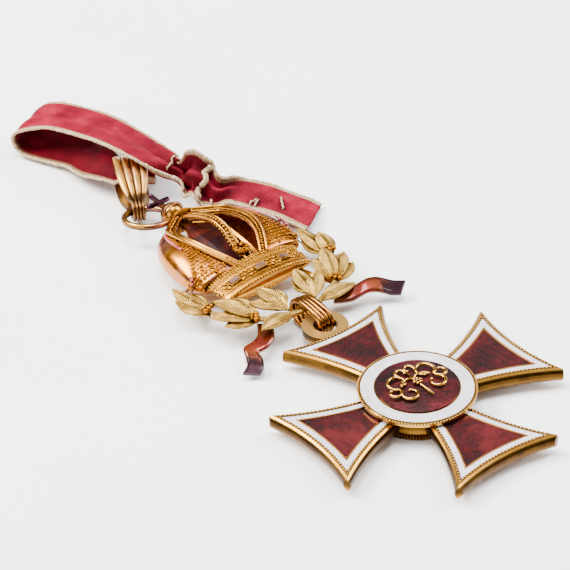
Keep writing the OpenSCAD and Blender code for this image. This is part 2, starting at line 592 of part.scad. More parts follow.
cross_body();
white_border(0);  // white_border_top
white_border(90);  // white_border_left
white_border(180);  // white_border_bottom
white_border(270);  // white_border_right
red_panel(0);  // red_panel_top
red_panel(90);  // red_panel_left
red_panel(180);  // red_panel_bottom
red_panel(270);  // red_panel_right
white_border(0, true);  // back_white_top
white_border(90, true);  // back_white_left
white_border(180, true);  // back_white_bottom
white_border(270, true);  // back_white_right
red_panel(0, true);  // back_red_top
red_panel(90, true);  // back_red_left
red_panel(180, true);  // back_red_bottom
red_panel(270, true);  // back_red_right
front_medallion();
white_ring();
red_centre();
scrollwork();
back_medallion();
knot();
wreath();
lappet(lappet_left_rows, 0);  // lappet_left
lappet(lappet_right_rows, 18);  // lappet_right
crown();
crown_cap();
plaque(128);  // plaque_left
plaque(90);  // plaque_middle
plaque(56);  // plaque_right
orb();
suspension_ring();
ribbon_clasp();
ribbon();
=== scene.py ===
import bmesh
import bpy
import numpy as np
from mathutils import Matrix


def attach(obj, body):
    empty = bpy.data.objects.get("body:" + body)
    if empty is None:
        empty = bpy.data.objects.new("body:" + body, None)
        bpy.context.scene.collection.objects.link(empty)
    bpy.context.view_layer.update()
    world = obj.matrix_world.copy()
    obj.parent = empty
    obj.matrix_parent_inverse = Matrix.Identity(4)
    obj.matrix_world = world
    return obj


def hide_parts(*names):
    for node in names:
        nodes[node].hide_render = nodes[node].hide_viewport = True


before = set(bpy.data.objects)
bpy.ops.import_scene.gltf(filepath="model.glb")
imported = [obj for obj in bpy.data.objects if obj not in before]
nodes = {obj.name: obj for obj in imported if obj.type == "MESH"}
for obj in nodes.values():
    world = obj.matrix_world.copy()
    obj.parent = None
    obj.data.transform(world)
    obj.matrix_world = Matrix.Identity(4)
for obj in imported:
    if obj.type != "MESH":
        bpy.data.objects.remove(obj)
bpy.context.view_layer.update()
rng = np.random.default_rng(7)

# Sizes shared with the solids
CROSS_W, TIP_W, NECK_W = 52.0, 23.2, 9.4
EDGE_DIP, SIDE_DIP = 1.6, 0.65
ARM_Z, CROSS_T = 1.3, 3.0
TOP_Z = ARM_Z + CROSS_T
MEDAL_D, MEDAL_T, MEDAL_RIM, RING_W = 23.0, 1.2, 0.6, 2.6
CENTRE_LIFT, CENTRE_RISE, SCROLL_WIRE = 0.15, 0.7, 0.55
NECK_Y = 0.47 * MEDAL_D
SEAT = 0.03
MEDAL_Z = TOP_Z + SEAT
FOOT_Y, CROWN_Z, TOP_TURN = 34.4, 4.55, 2.0
WREATH_R, STEM_D, LEAF_L, LEAF_W = 16.2, 1.3, 10.0, 3.9
BAND_Y, CROWN_L, BAND_W, DOME_W = 11.988, 31.0, 21.0, 27.4
CROWN_FRONT, CROWN_BACK, SHELL_T = 6.3, 4.5, 0.8
STRIP_W, ARCH_W, ORB_D = 2.0, 1.9, 5.2
HALF = CROSS_W / 2
EYE_Y, EYE_D = 28.7, 9.4
CLASP_AT = np.array([-5.53, 86.52, 3.24])
RIM_W, WHITE_W, LINE_W = 0.5, 1.4, 0.22
LAPPET_W, LAPPET_L, LAPPET_T = 3.4, 15.0, 0.8
RIBBON_W, RIBBON_T, CREAM_W = 12.5, 0.5, 0.8
# the crown's own axis, and the middle of the orb on it
TOP_WAY = np.array([-np.sin(np.radians(TOP_TURN)), np.cos(np.radians(TOP_TURN)), 0])
ORB_AT = np.array([0, FOOT_Y, CROWN_Z - 0.3]) + TOP_WAY * (BAND_Y + CROWN_L + ORB_D * 0.38)


# Shapes


def unit(v):
    v = np.asarray(v, float)
    return v / np.maximum(np.linalg.norm(v, axis=-1, keepdims=True), 1e-9)


def turns(n):
    """Equal turns that make up a circle."""
    return np.arange(n) * 2 * np.pi / n


def turned(points, degrees):
    """Points turned about the z axis."""
    c, s = np.cos(np.radians(degrees)), np.sin(np.radians(degrees))
    x, y, z = np.moveaxis(np.asarray(points, float), -1, 0)
    return np.stack([x * c - y * s, x * s + y * c, z], axis=-1)


def heading(turn, lean):
    """Direction at a turn from the x axis and a lean from level, in degrees."""
    turn, lean = np.radians(turn), np.radians(lean)
    level = np.cos(lean)
    return np.stack(np.broadcast_arrays(np.cos(turn) * level, np.sin(turn) * level, np.sin(lean)), axis=-1)


def ahead_of(path):
    """The way on at each point of an open path."""
    return np.vstack([path[1:2] - path[:1], path[2:] - path[:-2], path[-1:] - path[-2:-1]])


def smooth(rows, steps):
    """Smooth curve through the rows of a table, each row counted once and steps - 1 added between."""
    rows = np.asarray(rows, float)
    ahead = np.vstack([rows[:1], rows, rows[-1:]])
    out = []
    for i in range(len(rows) - 1):
        a, b, c, d = ahead[i:i + 4]
        for t in np.arange(steps) / steps:
            out.append(0.5 * (2 * b + (c - a) * t + (2 * a - 5 * b + 4 * c - d) * t ** 2
                              + (3 * b - a - 3 * c + d) * t ** 3))
    return np.array(out + [rows[-1]])


def run_of(path):
    """Length along a path up to each of its points."""
    return np.concatenate([[0], np.cumsum(np.linalg.norm(np.diff(path, axis=0), axis=1))])


def points_at(path, run, at):
    """Points at some lengths along a path; further columns go along."""
    return np.stack([np.interp(at, run, column) for column in path.T], axis=1)


def evenly(path, pitch):
    """Points along a path, about pitch apart, clear of its two ends."""
    run = run_of(path[:, :3])
    n = max(int(run[-1] / pitch), 2)
    return points_at(path, run, (np.arange(n) + 0.5) * run[-1] / n)


class Form:
    """Points and faces of one piece, gathered from many small shapes."""

    def __init__(self):
        self.points, self.faces, self.uv = [], [], []
        self.count = 0

    def add(self, points, faces, uv=None):
        points = np.asarray(points, float)
        self.faces += [tuple(self.count + k for k in f) for f in faces]
        self.points.append(points)
        self.uv.append(np.zeros((len(points), 2)) if uv is None else np.asarray(uv, float))
        self.count += len(points)

    def skin(self, rings, closed=False, uv=None):
        """Skin through equal rings; its map runs round the ring and along the rings, in millimetres."""
        rings = np.asarray(rings, float)
        m, n = rings.shape[:2]
        faces = [(i * n + j, i * n + (j + 1) % n, (i + 1) % m * n + (j + 1) % n, (i + 1) % m * n + j)
                 for i in range(m if closed else m - 1) for j in range(n)]
        if not closed:
            faces += [tuple(range(n - 1, -1, -1)), tuple((m - 1) * n + j for j in range(n))]
        if uv is None:
            run = run_of(rings.mean(axis=1))
            round_it = np.linalg.norm(np.diff(rings, axis=1), axis=2)
            across = np.concatenate([np.zeros((m, 1)), np.cumsum(round_it, axis=1)], axis=1)
            uv = np.stack([across, np.repeat(run[:, None], n, axis=1)], axis=2)
        self.add(rings.reshape(-1, 3), faces, np.reshape(uv, (-1, 2)))

    def sweep(self, path, profile, up, closed=False):
        """A profile set square to a path; up gives the profile's second direction."""
        self.skin(along(path, profile, up, closed), closed)

    def bead(self, at, size):
        self.add(np.asarray(at, float) + BALL * size / 2, BALL_FACES)

    def bead_ring(self, place, radius, n, size, start=0.0):
        """Beads in a ring, where place gives the point for an x and a y."""
        for a in turns(n) + start:
            self.bead(place(radius * np.cos(a), radius * np.sin(a)), size)


def along(path, profile, up, closed=False):
    """One profile, or one for each point, set square to a path."""
    path, profile = np.asarray(path, float), np.asarray(profile, float)
    if profile.ndim == 2:
        profile = np.repeat(profile[None], len(path), axis=0)
    t = unit(np.roll(path, -1, axis=0) - np.roll(path, 1, axis=0) if closed else ahead_of(path))
    up = np.broadcast_to(np.asarray(up, float), path.shape)
    side = unit(np.cross(up, t))
    rise = np.cross(t, side)
    return path[:, None] + profile[..., :1] * side[:, None] + profile[..., 1:] * rise[:, None]


def wire(size, sides=10):
    """Round section of a wire, or one for each of several sizes."""
    a = turns(sides)
    return np.asarray(size, float)[..., None, None] / 2 * np.stack([np.cos(a), np.sin(a)], axis=1)


def small_ball():
    ball = bmesh.new()
    bmesh.ops.create_icosphere(ball, subdivisions=1, radius=1)
    points = np.array([v.co[:] for v in ball.verts])
    faces = [tuple(v.index for v in f.verts) for f in ball.faces]
    ball.free()
    return points, faces


BALL, BALL_FACES = small_ball()


def into_scene(name, data):
    obj = bpy.data.objects.new(name, data)
    bpy.context.scene.collection.objects.link(obj)
    return obj


def piece(name, form, finish, replaces=()):
    """Makes a form into one piece of the badge, smoothly shaded."""
    mesh = bpy.data.meshes.new(name)
    mesh.from_pydata((np.vstack(form.points) * 0.001).tolist(), [], form.faces)
    layer = mesh.uv_layers.new(name="size_map")
    corner = np.empty(len(mesh.loops), dtype=int)
    mesh.loops.foreach_get("vertex_index", corner)
    layer.data.foreach_set("uv", np.vstack(form.uv)[corner].ravel())
    shell = bmesh.new()
    shell.from_mesh(mesh)
    bmesh.ops.recalc_face_normals(shell, faces=shell.faces)
    shell.to_mesh(mesh)
    shell.free()
    mesh.polygons.foreach_set("use_smooth", [True] * len(mesh.polygons))
    mesh.materials.append(finish)
    obj = into_scene(name, mesh)
    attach(obj, "root")
    if replaces:
        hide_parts(*replaces)
    return obj


# Finishes


def linear(tone):
    """Linear colour of an sRGB hex value, or of a grey given as a share of white."""
    if not isinstance(tone, str):
        return (tone, tone, tone, 1.0)
    parts = [int(tone[i:i + 2], 16) / 255 for i in (1, 3, 5)]
    return tuple(c / 12.92 if c <= 0.04045 else ((c + 0.055) / 1.055) ** 2.4 for c in parts) + (1.0,)


def add(finish, kind, inputs=(), give=None, stops=(), **settings):
    """Adds a node and returns one of its outputs, the first in use unless give names another. Its inputs are
    outputs, hex colours or plain values, in order or by name, stops the places and tones of a ramp, and
    settings the node's own choices."""
    node = finish.node_tree.nodes.new("ShaderNode" + kind)
    for key, value in settings.items():
        setattr(node, key, value)
    for key, value in inputs.items() if isinstance(inputs, dict) else enumerate(inputs):
        if isinstance(value, bpy.types.NodeSocket):
            finish.node_tree.links.new(value, node.inputs[key])
        else:
            node.inputs[key].default_value = linear(value) if isinstance(value, str) else value
    if stops:
        elements = node.color_ramp.elements
        while len(elements) < len(stops):
            elements.new(0.5)
        for element, (spot, tone) in zip(elements, stops):
            element.position, element.color = spot, linear(tone)
    return node.outputs[give] if give else next((out for out in node.outputs if out.enabled), None)


def new_finish(name):
    """An empty finish, and the piece's own coordinates in millimetres."""
    finish = bpy.data.materials.new(name)
    finish.use_nodes = True
    finish.node_tree.nodes.clear()
    place = add(finish, "TexCoord", give="Object")
    return finish, add(finish, "VectorMath", {0: place, "Scale": 1000.0}, operation="SCALE")


def size_map(finish):
    """How far across and how far along its piece a point lies, in millimetres."""
    across = add(finish, "SeparateXYZ", [add(finish, "UVMap", uv_map="size_map")])
    return across, across.node.outputs["Y"]


def upward(finish):
    """How far the surface faces up: 1 on top, 0 on upright walls, -1 underneath."""
    return add(finish, "SeparateXYZ", [add(finish, "NewGeometry", give="Normal")], "Z")


def open_part(finish, hollow):
    """1 on open places, falling to 0 in hollows of so many millimetres."""
    shut = add(finish, "AmbientOcclusion", {"Distance": hollow * 0.001}, "AO", samples=6)
    return add(finish, "ValToRGB", [shut], stops=((0.4, 0), (0.95, 1)))


def waves(finish, run, spacing):
    """Ridges square to a run in millimetres, so far apart."""
    turn = add(finish, "Math", [run, 2 * np.pi / spacing], operation="MULTIPLY")
    return add(finish, "Math", [turn], operation="SINE")


def close(finish, inputs, height=None, relief=0.0, strength=1.0):
    """Ends a finish with its shader; a height gives it relief of so many millimetres."""
    if height is not None:
        rise = {"Height": height, "Distance": relief * 0.001, "Strength": strength}
        inputs["Normal"] = add(finish, "Bump", rise)
    add(finish, "OutputMaterial", {"Surface": add(finish, "BsdfPrincipled", inputs)})
    return finish


def cast_gold(name, light, shade, roughness, grain, relief, wear=0.5, hollow=1.2, blush="#8A5A6E",
              blushed=0.0, under=0.0, dark_spot=None):
    """Gold alloy, cast, chased and polished: bright on high places, browner in hollows with painted shade
    that stands also for the tarnish kept there, with a rosy or purple blush of thin tarnish in patches
    (painted pink reflection on the dome). grain is the spacing in millimetres of the fine unevenness, relief
    its height, hollow the depth that counts as a hollow, under how much painted shade darkens the sides and
    underside, and the last argument a place towards which the colour darkens, and how far off that is full
    and gone."""
    finish, place = new_finish(name)
    cloud = add(finish, "TexNoise", {"Vector": place, "Scale": 0.35, "Detail": 3.0})
    height = add(finish, "Math", [cloud, wear, 0.5 - wear / 2], operation="MULTIPLY_ADD", use_clamp=True)
    # painted shade: browner in hollows found by ambient occlusion, standing also for tarnish kept there
    height = add(finish, "Math", [height, open_part(finish, hollow)], operation="MULTIPLY")
    # painted shade: the sides and underside are darker the more they face down
    if under:
        painted_underside_shade = add(finish, "MapRange", {"Value": upward(finish), "From Min": -0.1, "From Max": 0.6,
                                          "To Min": 1 - under})
        height = add(finish, "Math", [height, painted_underside_shade], operation="MULTIPLY")
    colour = add(finish, "ValToRGB", [height], stops=((0.02, shade), (0.5, light)))
    film_and_painted_light = add(finish, "TexNoise", {"Vector": place, "Scale": 0.21, "Detail": 2.0})
    film_and_painted_light = add(finish, "ValToRGB", [film_and_painted_light], stops=((0.48, 0), (0.66, blushed)))
    colour = add(finish, "Mix", {0: film_and_painted_light, 6: colour, 7: blush}, data_type="RGBA")
    # darker towards a given place: fully near it, not at all far off
    if dark_spot:
        at, full, gone = dark_spot
        off = add(finish, "VectorMath", [place, tuple(at)], operation="DISTANCE")
        darkening = add(finish, "MapRange", {"Value": off, "From Min": gone, "From Max": full, "To Max": 0.9})
        colour = add(finish, "Mix", {0: darkening, 6: colour, 7: "#46281C"}, data_type="RGBA")
    gloss = add(finish, "MapRange", {"Value": cloud, "From Min": 0.3, "From Max": 0.7,
                                     "To Min": roughness * 0.8, "To Max": roughness * 1.3})
    fine = add(finish, "TexNoise", {"Vector": place, "Scale": 1 / grain, "Detail": 2.0})
    return close(finish, {"Base Color": colour, "Metallic": 1.0, "Roughness": gloss}, fine, relief)


polished_gold = cast_gold("polished_gold", "#CC9640", "#3A1E06", 0.16, 0.6, 0.012, hollow=0.8)
# the ring's blush is tarnish; its dark underside is painted shade
ring_gold = cast_gold("ring_gold_blush_and_painted_shade", "#AE7C34", "#1E0C06", 0.26, 0.8, 0.02, wear=0.8, blushed=0.4,
                      under=0.9)
clasp_gold = cast_gold("reeded_clasp_gold", "#F2B44E", "#5E3610", 0.33, 0.9, 0.01, wear=0.3, hollow=0.5,
                       blush="#B08090", blushed=0.25, dark_spot=(CLASP_AT, 3.5, 8.5))
# one granulated gold in two tones of painted light and shade: darker on the halves, ties, finials and collar,
# lighter on the band
crown_gold = cast_gold("granules_gold_painted_darker", "#A2620A", "#260E00", 0.34, 0.25, 0.04, wear=0.6, hollow=1.1)
band_gold = cast_gold("band_granules_gold_painted_lighter", "#D08E28", "#3A1A02", 0.32, 0.25, 0.04, wear=0.5, hollow=0.8)
strip_gold = cast_gold("corded_strip_gold", "#C4842C", "#341802", 0.26, 0.3, 0.02, hollow=0.6)
# the pink blush on the dome is painted reflection
dome_gold = cast_gold("polished_dome_gold", "#C07620", "#6E3A10", 0.26, 1.6, 0.02, wear=0.6, blush="#B06C7C",
                      blushed=0.5)
knot_gold = cast_gold("coppery_wire_gold", "#9C6628", "#2C1204", 0.2, 0.7, 0.015, hollow=0.7)
groove_gold = cast_gold("brown_groove_gold", "#5E3E18", "#3A240C", 0.5, 0.6, 0.01)
cell_gold = cast_gold("amber_cell_gold", "#94602A", "#6A3E14", 0.4, 0.6, 0.01)
bead_gold = cast_gold("pale_bead_gold", "#C89A50", "#6A4416", 0.34, 0.5, 0.01, hollow=0.3)


def wall_gold():
    """Polished gold of the cross, with a brown band of painted shade along the upper half of its upright side
    walls. The eye for the knot is left matt from the file."""
    finish, place = new_finish("wall_gold_painted_shade_band")
    level = add(finish, "Math", [upward(finish)], operation="ABSOLUTE")
    upright = add(finish, "MapRange", {"Value": level, "From Min": 0.93, "From Max": 0.8})
    cloud = add(finish, "TexNoise", {"Vector": place, "Scale": 0.3, "Detail": 3.0})
    share = add(finish, "MapRange", {"Value": add(finish, "SeparateXYZ", [place], "Z"),
                                     "From Min": ARM_Z, "From Max": TOP_Z})
    # painted shade: a brown band up the upright walls, strongest over their upper half
    painted_shade_band = add(finish, "ValToRGB", [share], stops=((0.05, 0.3), (0.2, 0.35), (0.36, 0.85), (0.6, 1),
                                                     (0.88, 0.9), (0.95, 0)))
    painted_shade_amount = add(finish, "MapRange", {"Value": cloud, "From Min": 0.3, "From Max": 0.6, "To Min": 0.86})
    film_and_painted_light = add(finish, "Math", [upright, painted_shade_band], operation="MULTIPLY")
    film_and_painted_light = add(finish, "Math", [film_and_painted_light, painted_shade_amount], operation="MULTIPLY")
    warm = add(finish, "ValToRGB", [cloud], stops=((0.35, "#B07C2C"), (0.65, "#C49040")))
    # the brown of the painted shade band
    colour = add(finish, "Mix", {0: film_and_painted_light, 6: warm, 7: "#2A1806"}, data_type="RGBA")
    off = add(finish, "VectorMath", [place, (0, EYE_Y, ARM_Z + CROSS_T / 2)], operation="DISTANCE")
    on_eye = add(finish, "MapRange", {"Value": off, "From Min": EYE_D / 2 + 0.3, "From Max": EYE_D / 2 + 0.2})
    flat = add(finish, "Math", [1.0, upright], operation="SUBTRACT")
    on_eye = add(finish, "Math", [on_eye, flat], operation="MULTIPLY")
    colour = add(finish, "Mix", {0: on_eye, 6: colour, 7: "#B88E4C"}, data_type="RGBA")
    gloss = add(finish, "MapRange", {"Value": on_eye, "To Min": 0.3, "To Max": 0.44})
    return close(finish, {"Base Color": colour, "Metallic": 1.0, "Roughness": gloss}, cloud, 0.03)


def orb_gold():
    """Worn gold of the orb, turned with fine pale bands round its middle; the small cross over it has
    gone purple with tarnish."""
    finish, place = new_finish("banded_orb_gold")
    off = add(finish, "VectorMath", [place, tuple(ORB_AT)], operation="SUBTRACT")
    out = add(finish, "VectorMath", [off], operation="LENGTH")
    height = add(finish, "VectorMath", [off, tuple(TOP_WAY)], operation="DOT_PRODUCT")
    share = add(finish, "MapRange", {"Value": height, "From Min": -ORB_D / 2, "From Max": ORB_D / 2})
    gold, brown, pale = "#946420", "#3E220C", "#CC9460"
    ball = add(finish, "ValToRGB", [share], stops=(
        (0.3, gold), (0.38, brown), (0.43, pale), (0.48, brown), (0.53, pale), (0.58, brown), (0.63, pale),
        (0.68, brown), (0.78, gold)))
    cloud = add(finish, "TexNoise", {"Vector": place, "Scale": 0.7, "Detail": 3.0})
    film_and_painted_light = add(finish, "ValToRGB", [cloud], stops=((0.4, "#2E142A"), (0.62, "#6E3C4C")))
    beyond = add(finish, "MapRange", {"Value": out, "From Min": ORB_D * 0.57, "From Max": ORB_D * 0.6})
    colour = add(finish, "Mix", {0: beyond, 6: ball, 7: film_and_painted_light}, data_type="RGBA")
    return close(finish, {"Base Color": colour, "Metallic": 1.0, "Roughness": 0.24}, cloud, 0.04)


def leaf_gold():
    """Matt chased gold: fine veins run out from the midrib towards the tip, brown in the cuts, with painted
    shade in its hollows.
    """
    finish, place = new_finish("matt_leaf_gold")
    across, run = size_map(finish)
    off_rib = add(finish, "Math", [across], operation="ABSOLUTE")
    slant = add(finish, "Math", [off_rib, -1.6, run], operation="MULTIPLY_ADD")
    vein = waves(finish, slant, 0.66)
    cloud = add(finish, "TexNoise", {"Vector": place, "Scale": 0.6, "Detail": 4.0})
    tone = add(finish, "Math", [vein, 0.15, cloud], operation="MULTIPLY_ADD")
    # painted shade: darker in hollows found by ambient occlusion
    tone = add(finish, "Math", [tone, open_part(finish, 1.6)], operation="MULTIPLY")
    colour = add(finish, "ValToRGB", [tone], stops=((0.08, "#4A2C06"), (0.36, "#96702A"), (0.62, "#CCA656")))
    return close(finish, {"Base Color": colour, "Metallic": 1.0, "Roughness": 0.36}, vein, 0.05)


def milled_gold():
    """Gold edge cut with 110 upright ribs by a milling wheel, darkened between the ribs."""
    finish, place = new_finish("milled_edge_gold")
    x = add(finish, "SeparateXYZ", [place])
    turn = add(finish, "Math", [x.node.outputs["Y"], x], operation="ARCTAN2")
    rib = waves(finish, turn, 2 * np.pi / 110)
    tone = add(finish, "MapRange", {"Value": rib, "From Min": -1.0})
    colour = add(finish, "ValToRGB", [tone], stops=((0.1, "#1E0E04"), (0.9, "#6E4A1E")))
    return close(finish, {"Base Color": colour, "Metallic": 1.0, "Roughness": 0.28}, tone, 0.12)


def opaque_enamel(name, light, shade):
    """Opaque vitreous enamel, fired and stoned flat: a glassy skin with faint clouds and pinholes."""
    finish, place = new_finish(name)
    cloud = add(finish, "TexNoise", {"Vector": place, "Scale": 0.5, "Detail": 4.0})
    pits = add(finish, "TexVoronoi", {"Vector": place, "Scale": 1.2})
    spot = add(finish, "ValToRGB", [pits], stops=((0.02, "#A79C92"), (0.07, 1)))
    body = add(finish, "ValToRGB", [cloud], stops=((0.35, shade), (0.65, light)))
    colour = add(finish, "Mix", {0: 0.35, 6: body, 7: spot}, data_type="RGBA", blend_type="MULTIPLY")
    return close(finish, {"Base Color": colour, "Roughness": 0.16, "IOR": 1.53, "Coat Weight": 0.6,
                          "Coat Roughness": 0.05}, cloud, 0.03)


white_enamel = opaque_enamel("white_vitreous_enamel", "#CEC8CA", "#BCB4B8")
plaque_enamel = opaque_enamel("pale_plaque_enamel", "#785444", "#4A3226")
pink_enamel = opaque_enamel("pink_line_enamel", "#B83E46", "#8A1E2A")
ruby_glass = opaque_enamel("ruby_glass", "#900C20", "#500814")


def red_enamel(name, turn, course, light="#4E0A10"):
    """Translucent red vitreous enamel over an engine-turned gold ground, whose cuts show through the glass in
    short courses like brickwork; the lighter courses are painted glints. turn is the courses' turn, course
    their spacing in millimetres."""
    finish, place = new_finish(name)
    place = add(finish, "VectorRotate", {"Vector": place, "Angle": np.radians(turn)}, rotation_type="Z_AXIS")
    bricks = add(finish, "TexBrick", {
        "Vector": place, "Color1": linear(1), "Color2": linear(0.25), "Mortar": linear(0), "Scale": 1.0,
        "Mortar Size": course * 0.1, "Mortar Smooth": 0.6, "Brick Width": course * 2, "Row Height": course},
        offset=0.5)
    cloud = add(finish, "TexNoise", {"Vector": place, "Scale": 0.16, "Detail": 2.0})
    fleck = add(finish, "TexNoise", {"Vector": place, "Scale": 1.1, "Detail": 3.0})
    # painted glints: lighter and darker courses of the cut ground, in the colour as well as the relief
    tone = add(finish, "Math", [bricks, 0.4, -0.3], operation="MULTIPLY_ADD")
    tone = add(finish, "Math", [cloud, 1.3, tone], operation="MULTIPLY_ADD")
    tone = add(finish, "Math", [fleck, 0.12, tone], operation="MULTIPLY_ADD")
    colour = add(finish, "ValToRGB", [tone], stops=((0.4, "#1C0405"), (0.75, light), (1.0, "#6A1E20")))
    return close(finish, {"Base Color": colour, "Metallic": 0.6, "Roughness": 0.32, "Coat Weight": 0.25,
                          "Coat Roughness": 0.04, "Coat IOR": 1.53}, bricks, 0.08, 0.8)


arm_red = {side: red_enamel("red_enamel_" + side, turn, 0.6)
           for side, turn in (("top", 0), ("left", 90), ("bottom", 0), ("right", 90))}
centre_red = red_enamel("red_enamel_centre", 20, 0.5, light="#4C0814")


def cap_enamel():
    """Dark red-brown enamel inside the crown, worn matt, near black with painted shade and redder in random
    patches of painted light.
    """
    finish, place = new_finish("dark_cap_enamel")
    cloud = add(finish, "TexNoise", {"Vector": place, "Scale": 0.3, "Detail": 4.0})
    # painted shade for the crown's inside, with redder random patches as painted light
    colour = add(finish, "ValToRGB", [cloud], stops=((0.35, "#140201"), (0.55, "#2A0604"), (0.7, "#4A140A")))
    return close(finish, {"Base Color": colour, "Metallic": 0.2, "Roughness": 0.45,
                          "Specular IOR Level": 0.12}, cloud, 0.2)


def lappet_enamel():
    """Translucent red-brown enamel over gold, turning purple at the ribbed end of the lappet."""
    finish, place = new_finish("red_brown_lappet_enamel")
    across, run = size_map(finish)
    cloud = add(finish, "TexNoise", {"Vector": place, "Scale": 0.45, "Detail": 3.0})
    share = add(finish, "Math", [cloud, 0.25, -0.12], operation="MULTIPLY_ADD")
    share = add(finish, "Math", [run, 1 / LAPPET_L, share], operation="MULTIPLY_ADD")
    colour = add(finish, "ValToRGB", [share], stops=(
        (0.0, "#6E3408"), (0.3, "#5E1E06"), (0.48, "#7E2012"), (0.62, "#702E06"), (0.78, "#2A0A0C"),
        (1.0, "#341022")))
    near_end = add(finish, "MapRange", {"Value": share, "From Min": 0.68, "From Max": 0.74})
    cut = add(finish, "Math", [waves(finish, across, 0.57), near_end], operation="MULTIPLY")
    return close(finish, {"Base Color": colour, "Metallic": 0.75, "Roughness": 0.26, "Coat Weight": 0.4,
                          "Coat Roughness": 0.06}, cut, 0.08)


def ribbed_silk():
    """Red silk woven with fine cross ribs and cream edges, deeper red in its folds and under the loop by
    painted shade. The real ribs are about 0.3 mm apart, drawn at 0.55 mm so that they show."""
    finish, place = new_finish("ribbed_red_silk")
    across, run = size_map(finish)
    weave = add(finish, "Math", [waves(finish, across, 0.4), 0.35, waves(finish, run, 0.55)],
                operation="MULTIPLY_ADD")
    cloud = add(finish, "TexNoise", {"Vector": place, "Scale": 0.22, "Detail": 3.0})
    fuzz = add(finish, "TexNoise", {"Vector": place, "Scale": 2.6, "Detail": 2.0})
    tone = add(finish, "Math", [weave, 0.035, cloud], operation="MULTIPLY_ADD")
    tone = add(finish, "Math", [fuzz, 0.35, tone], operation="MULTIPLY_ADD")
    red = add(finish, "ValToRGB", [tone], stops=((0.42, "#4E0614"), (0.7, "#700A20"), (0.98, "#8E1A30")))
    cream = add(finish, "ValToRGB", [fuzz], stops=((0.3, "#7E684C"), (0.7, "#A88E6C")))
    to_edge = add(finish, "Math", [across], operation="ABSOLUTE")
    edge = add(finish, "MapRange", {"Value": to_edge, "From Min": RIBBON_W / 2 - CREAM_W - 0.1,
                                    "From Max": RIBBON_W / 2 - CREAM_W})
    colour = add(finish, "Mix", {0: edge, 6: red, 7: cream}, data_type="RGBA")
    # painted shade: darker where ambient occlusion finds the cloth shut in, as in folds and under the loop
    shut = add(finish, "AmbientOcclusion", {"Distance": 0.02}, "AO", samples=6)
    painted_shade_amount = add(finish, "ValToRGB", [shut], stops=((0.2, 0.9), (0.5, "#9C7C76"), (0.8, "#9C7C76"), (0.97, 1)))
    colour = add(finish, "Mix", {0: 1.0, 6: colour, 7: painted_shade_amount}, data_type="RGBA", blend_type="MULTIPLY")
    return close(finish, {"Base Color": colour, "Roughness": 0.7, "Specular IOR Level": 0.06},
                 weave, 0.03, 0.6)


def cream_thread():
    """Undyed silk thread, looped and worn: matt cream with darker gaps between the loops."""
    finish, place = new_finish("cream_silk_thread")
    loops = add(finish, "TexNoise", {"Vector": place, "Scale": 2.4, "Detail": 3.0})
    colour = add(finish, "ValToRGB", [loops], stops=((0.32, "#7C6648"), (0.62, "#C2A886")))
    return close(finish, {"Base Color": colour, "Roughness": 0.8, "Specular IOR Level": 0.1}, loops, 0.25)


def paint(finish, *names):
    """Gives carried-over solids their finish."""
    for name in names:
        mesh = nodes[name].data
        if not mesh.materials:
            mesh.materials.append(finish)
        for k in range(len(mesh.materials)):
            mesh.materials[k] = finish


# Cross

paint(wall_gold(), "cross_body")
paint(polished_gold, "front_medallion")
paint(milled_gold(), "back_medallion")
paint(white_enamel, "white_ring")
paint(centre_red, "red_centre")
for side in arm_red:
    paint(white_enamel, "white_border_" + side, "back_white_" + side)
    paint(arm_red[side], "red_panel_" + side, "back_red_" + side)


# the fine beads of the rim and of the medallion's edge, and their spacings
BEAD_D, BEAD_PITCH, MILLING_PITCH = 0.46, 0.75, 0.62


def arc_points(centre, radius, start, end, pitch):
    """Points on an arc from start to end, about pitch apart."""
    a = np.arctan2(start[1] - centre[1], start[0] - centre[0])
    b = np.arctan2(end[1] - centre[1], end[0] - centre[0])
    b += 2 * np.pi * np.round((a - b) / (2 * np.pi))
    n = max(int(abs(b - a) * radius / pitch), 2)
    turn = np.linspace(a, b, n, endpoint=False)
    return np.stack([centre[0] + radius * np.cos(turn), centre[1] + radius * np.sin(turn)], axis=1)


def meet(c1, r1, c2, r2, near):
    """Where two circles cross, on the side of a given point."""
    c1, c2 = np.array(c1, float), np.array(c2, float)
    d = np.linalg.norm(c2 - c1)
    a = (r1 * r1 - r2 * r2 + d * d) / (2 * d)
    h = np.sqrt(max(r1 * r1 - a * a, 0))
    u = (c2 - c1) / d
    both = [c1 + a * u + s * h * np.array([-u[1], u[0]]) for s in (-1, 1)]
    return min(both, key=lambda p: np.linalg.norm(p - near))


def arm_outline(inset, pitch):
    """Points along the outline of the top arm, drawn in from its edge."""
    edge_r = (TIP_W ** 2 / 4 + EDGE_DIP ** 2) / (2 * EDGE_DIP)
    edge_c = np.array([0, HALF - EDGE_DIP + edge_r])
    run = np.array([TIP_W / 2 - NECK_W / 2, HALF - NECK_Y])
    length = np.linalg.norm(run)
    side_r = (length ** 2 / 4 + SIDE_DIP ** 2) / (2 * SIDE_DIP)
    side_c = np.array([TIP_W / 2 + NECK_W / 2, HALF + NECK_Y]) / 2 \
        + np.array([run[1], -run[0]]) / length * (side_r - SIDE_DIP)
    tip = meet(edge_c, edge_r + inset, side_c, side_r + inset, np.array([TIP_W / 2, HALF]))
    root = meet(side_c, side_r + inset, [0, 0], MEDAL_D / 2 - 0.2, np.array([NECK_W / 2, NECK_Y]))
    right = arc_points(side_c, side_r + inset, root, tip, pitch)
    outer = arc_points(edge_c, edge_r + inset, tip, tip * [-1, 1], pitch)
    left = right[::-1] * [-1, 1]
    return np.vstack([right, outer, left])


def four_arms(inset, pitch, z):
    """The outline of each arm in turn, at a height."""
    outline = arm_outline(inset, pitch)
    return [turned(np.column_stack([outline, np.full(len(outline), z)]), turn) for turn in (0, 90, 180, 270)]


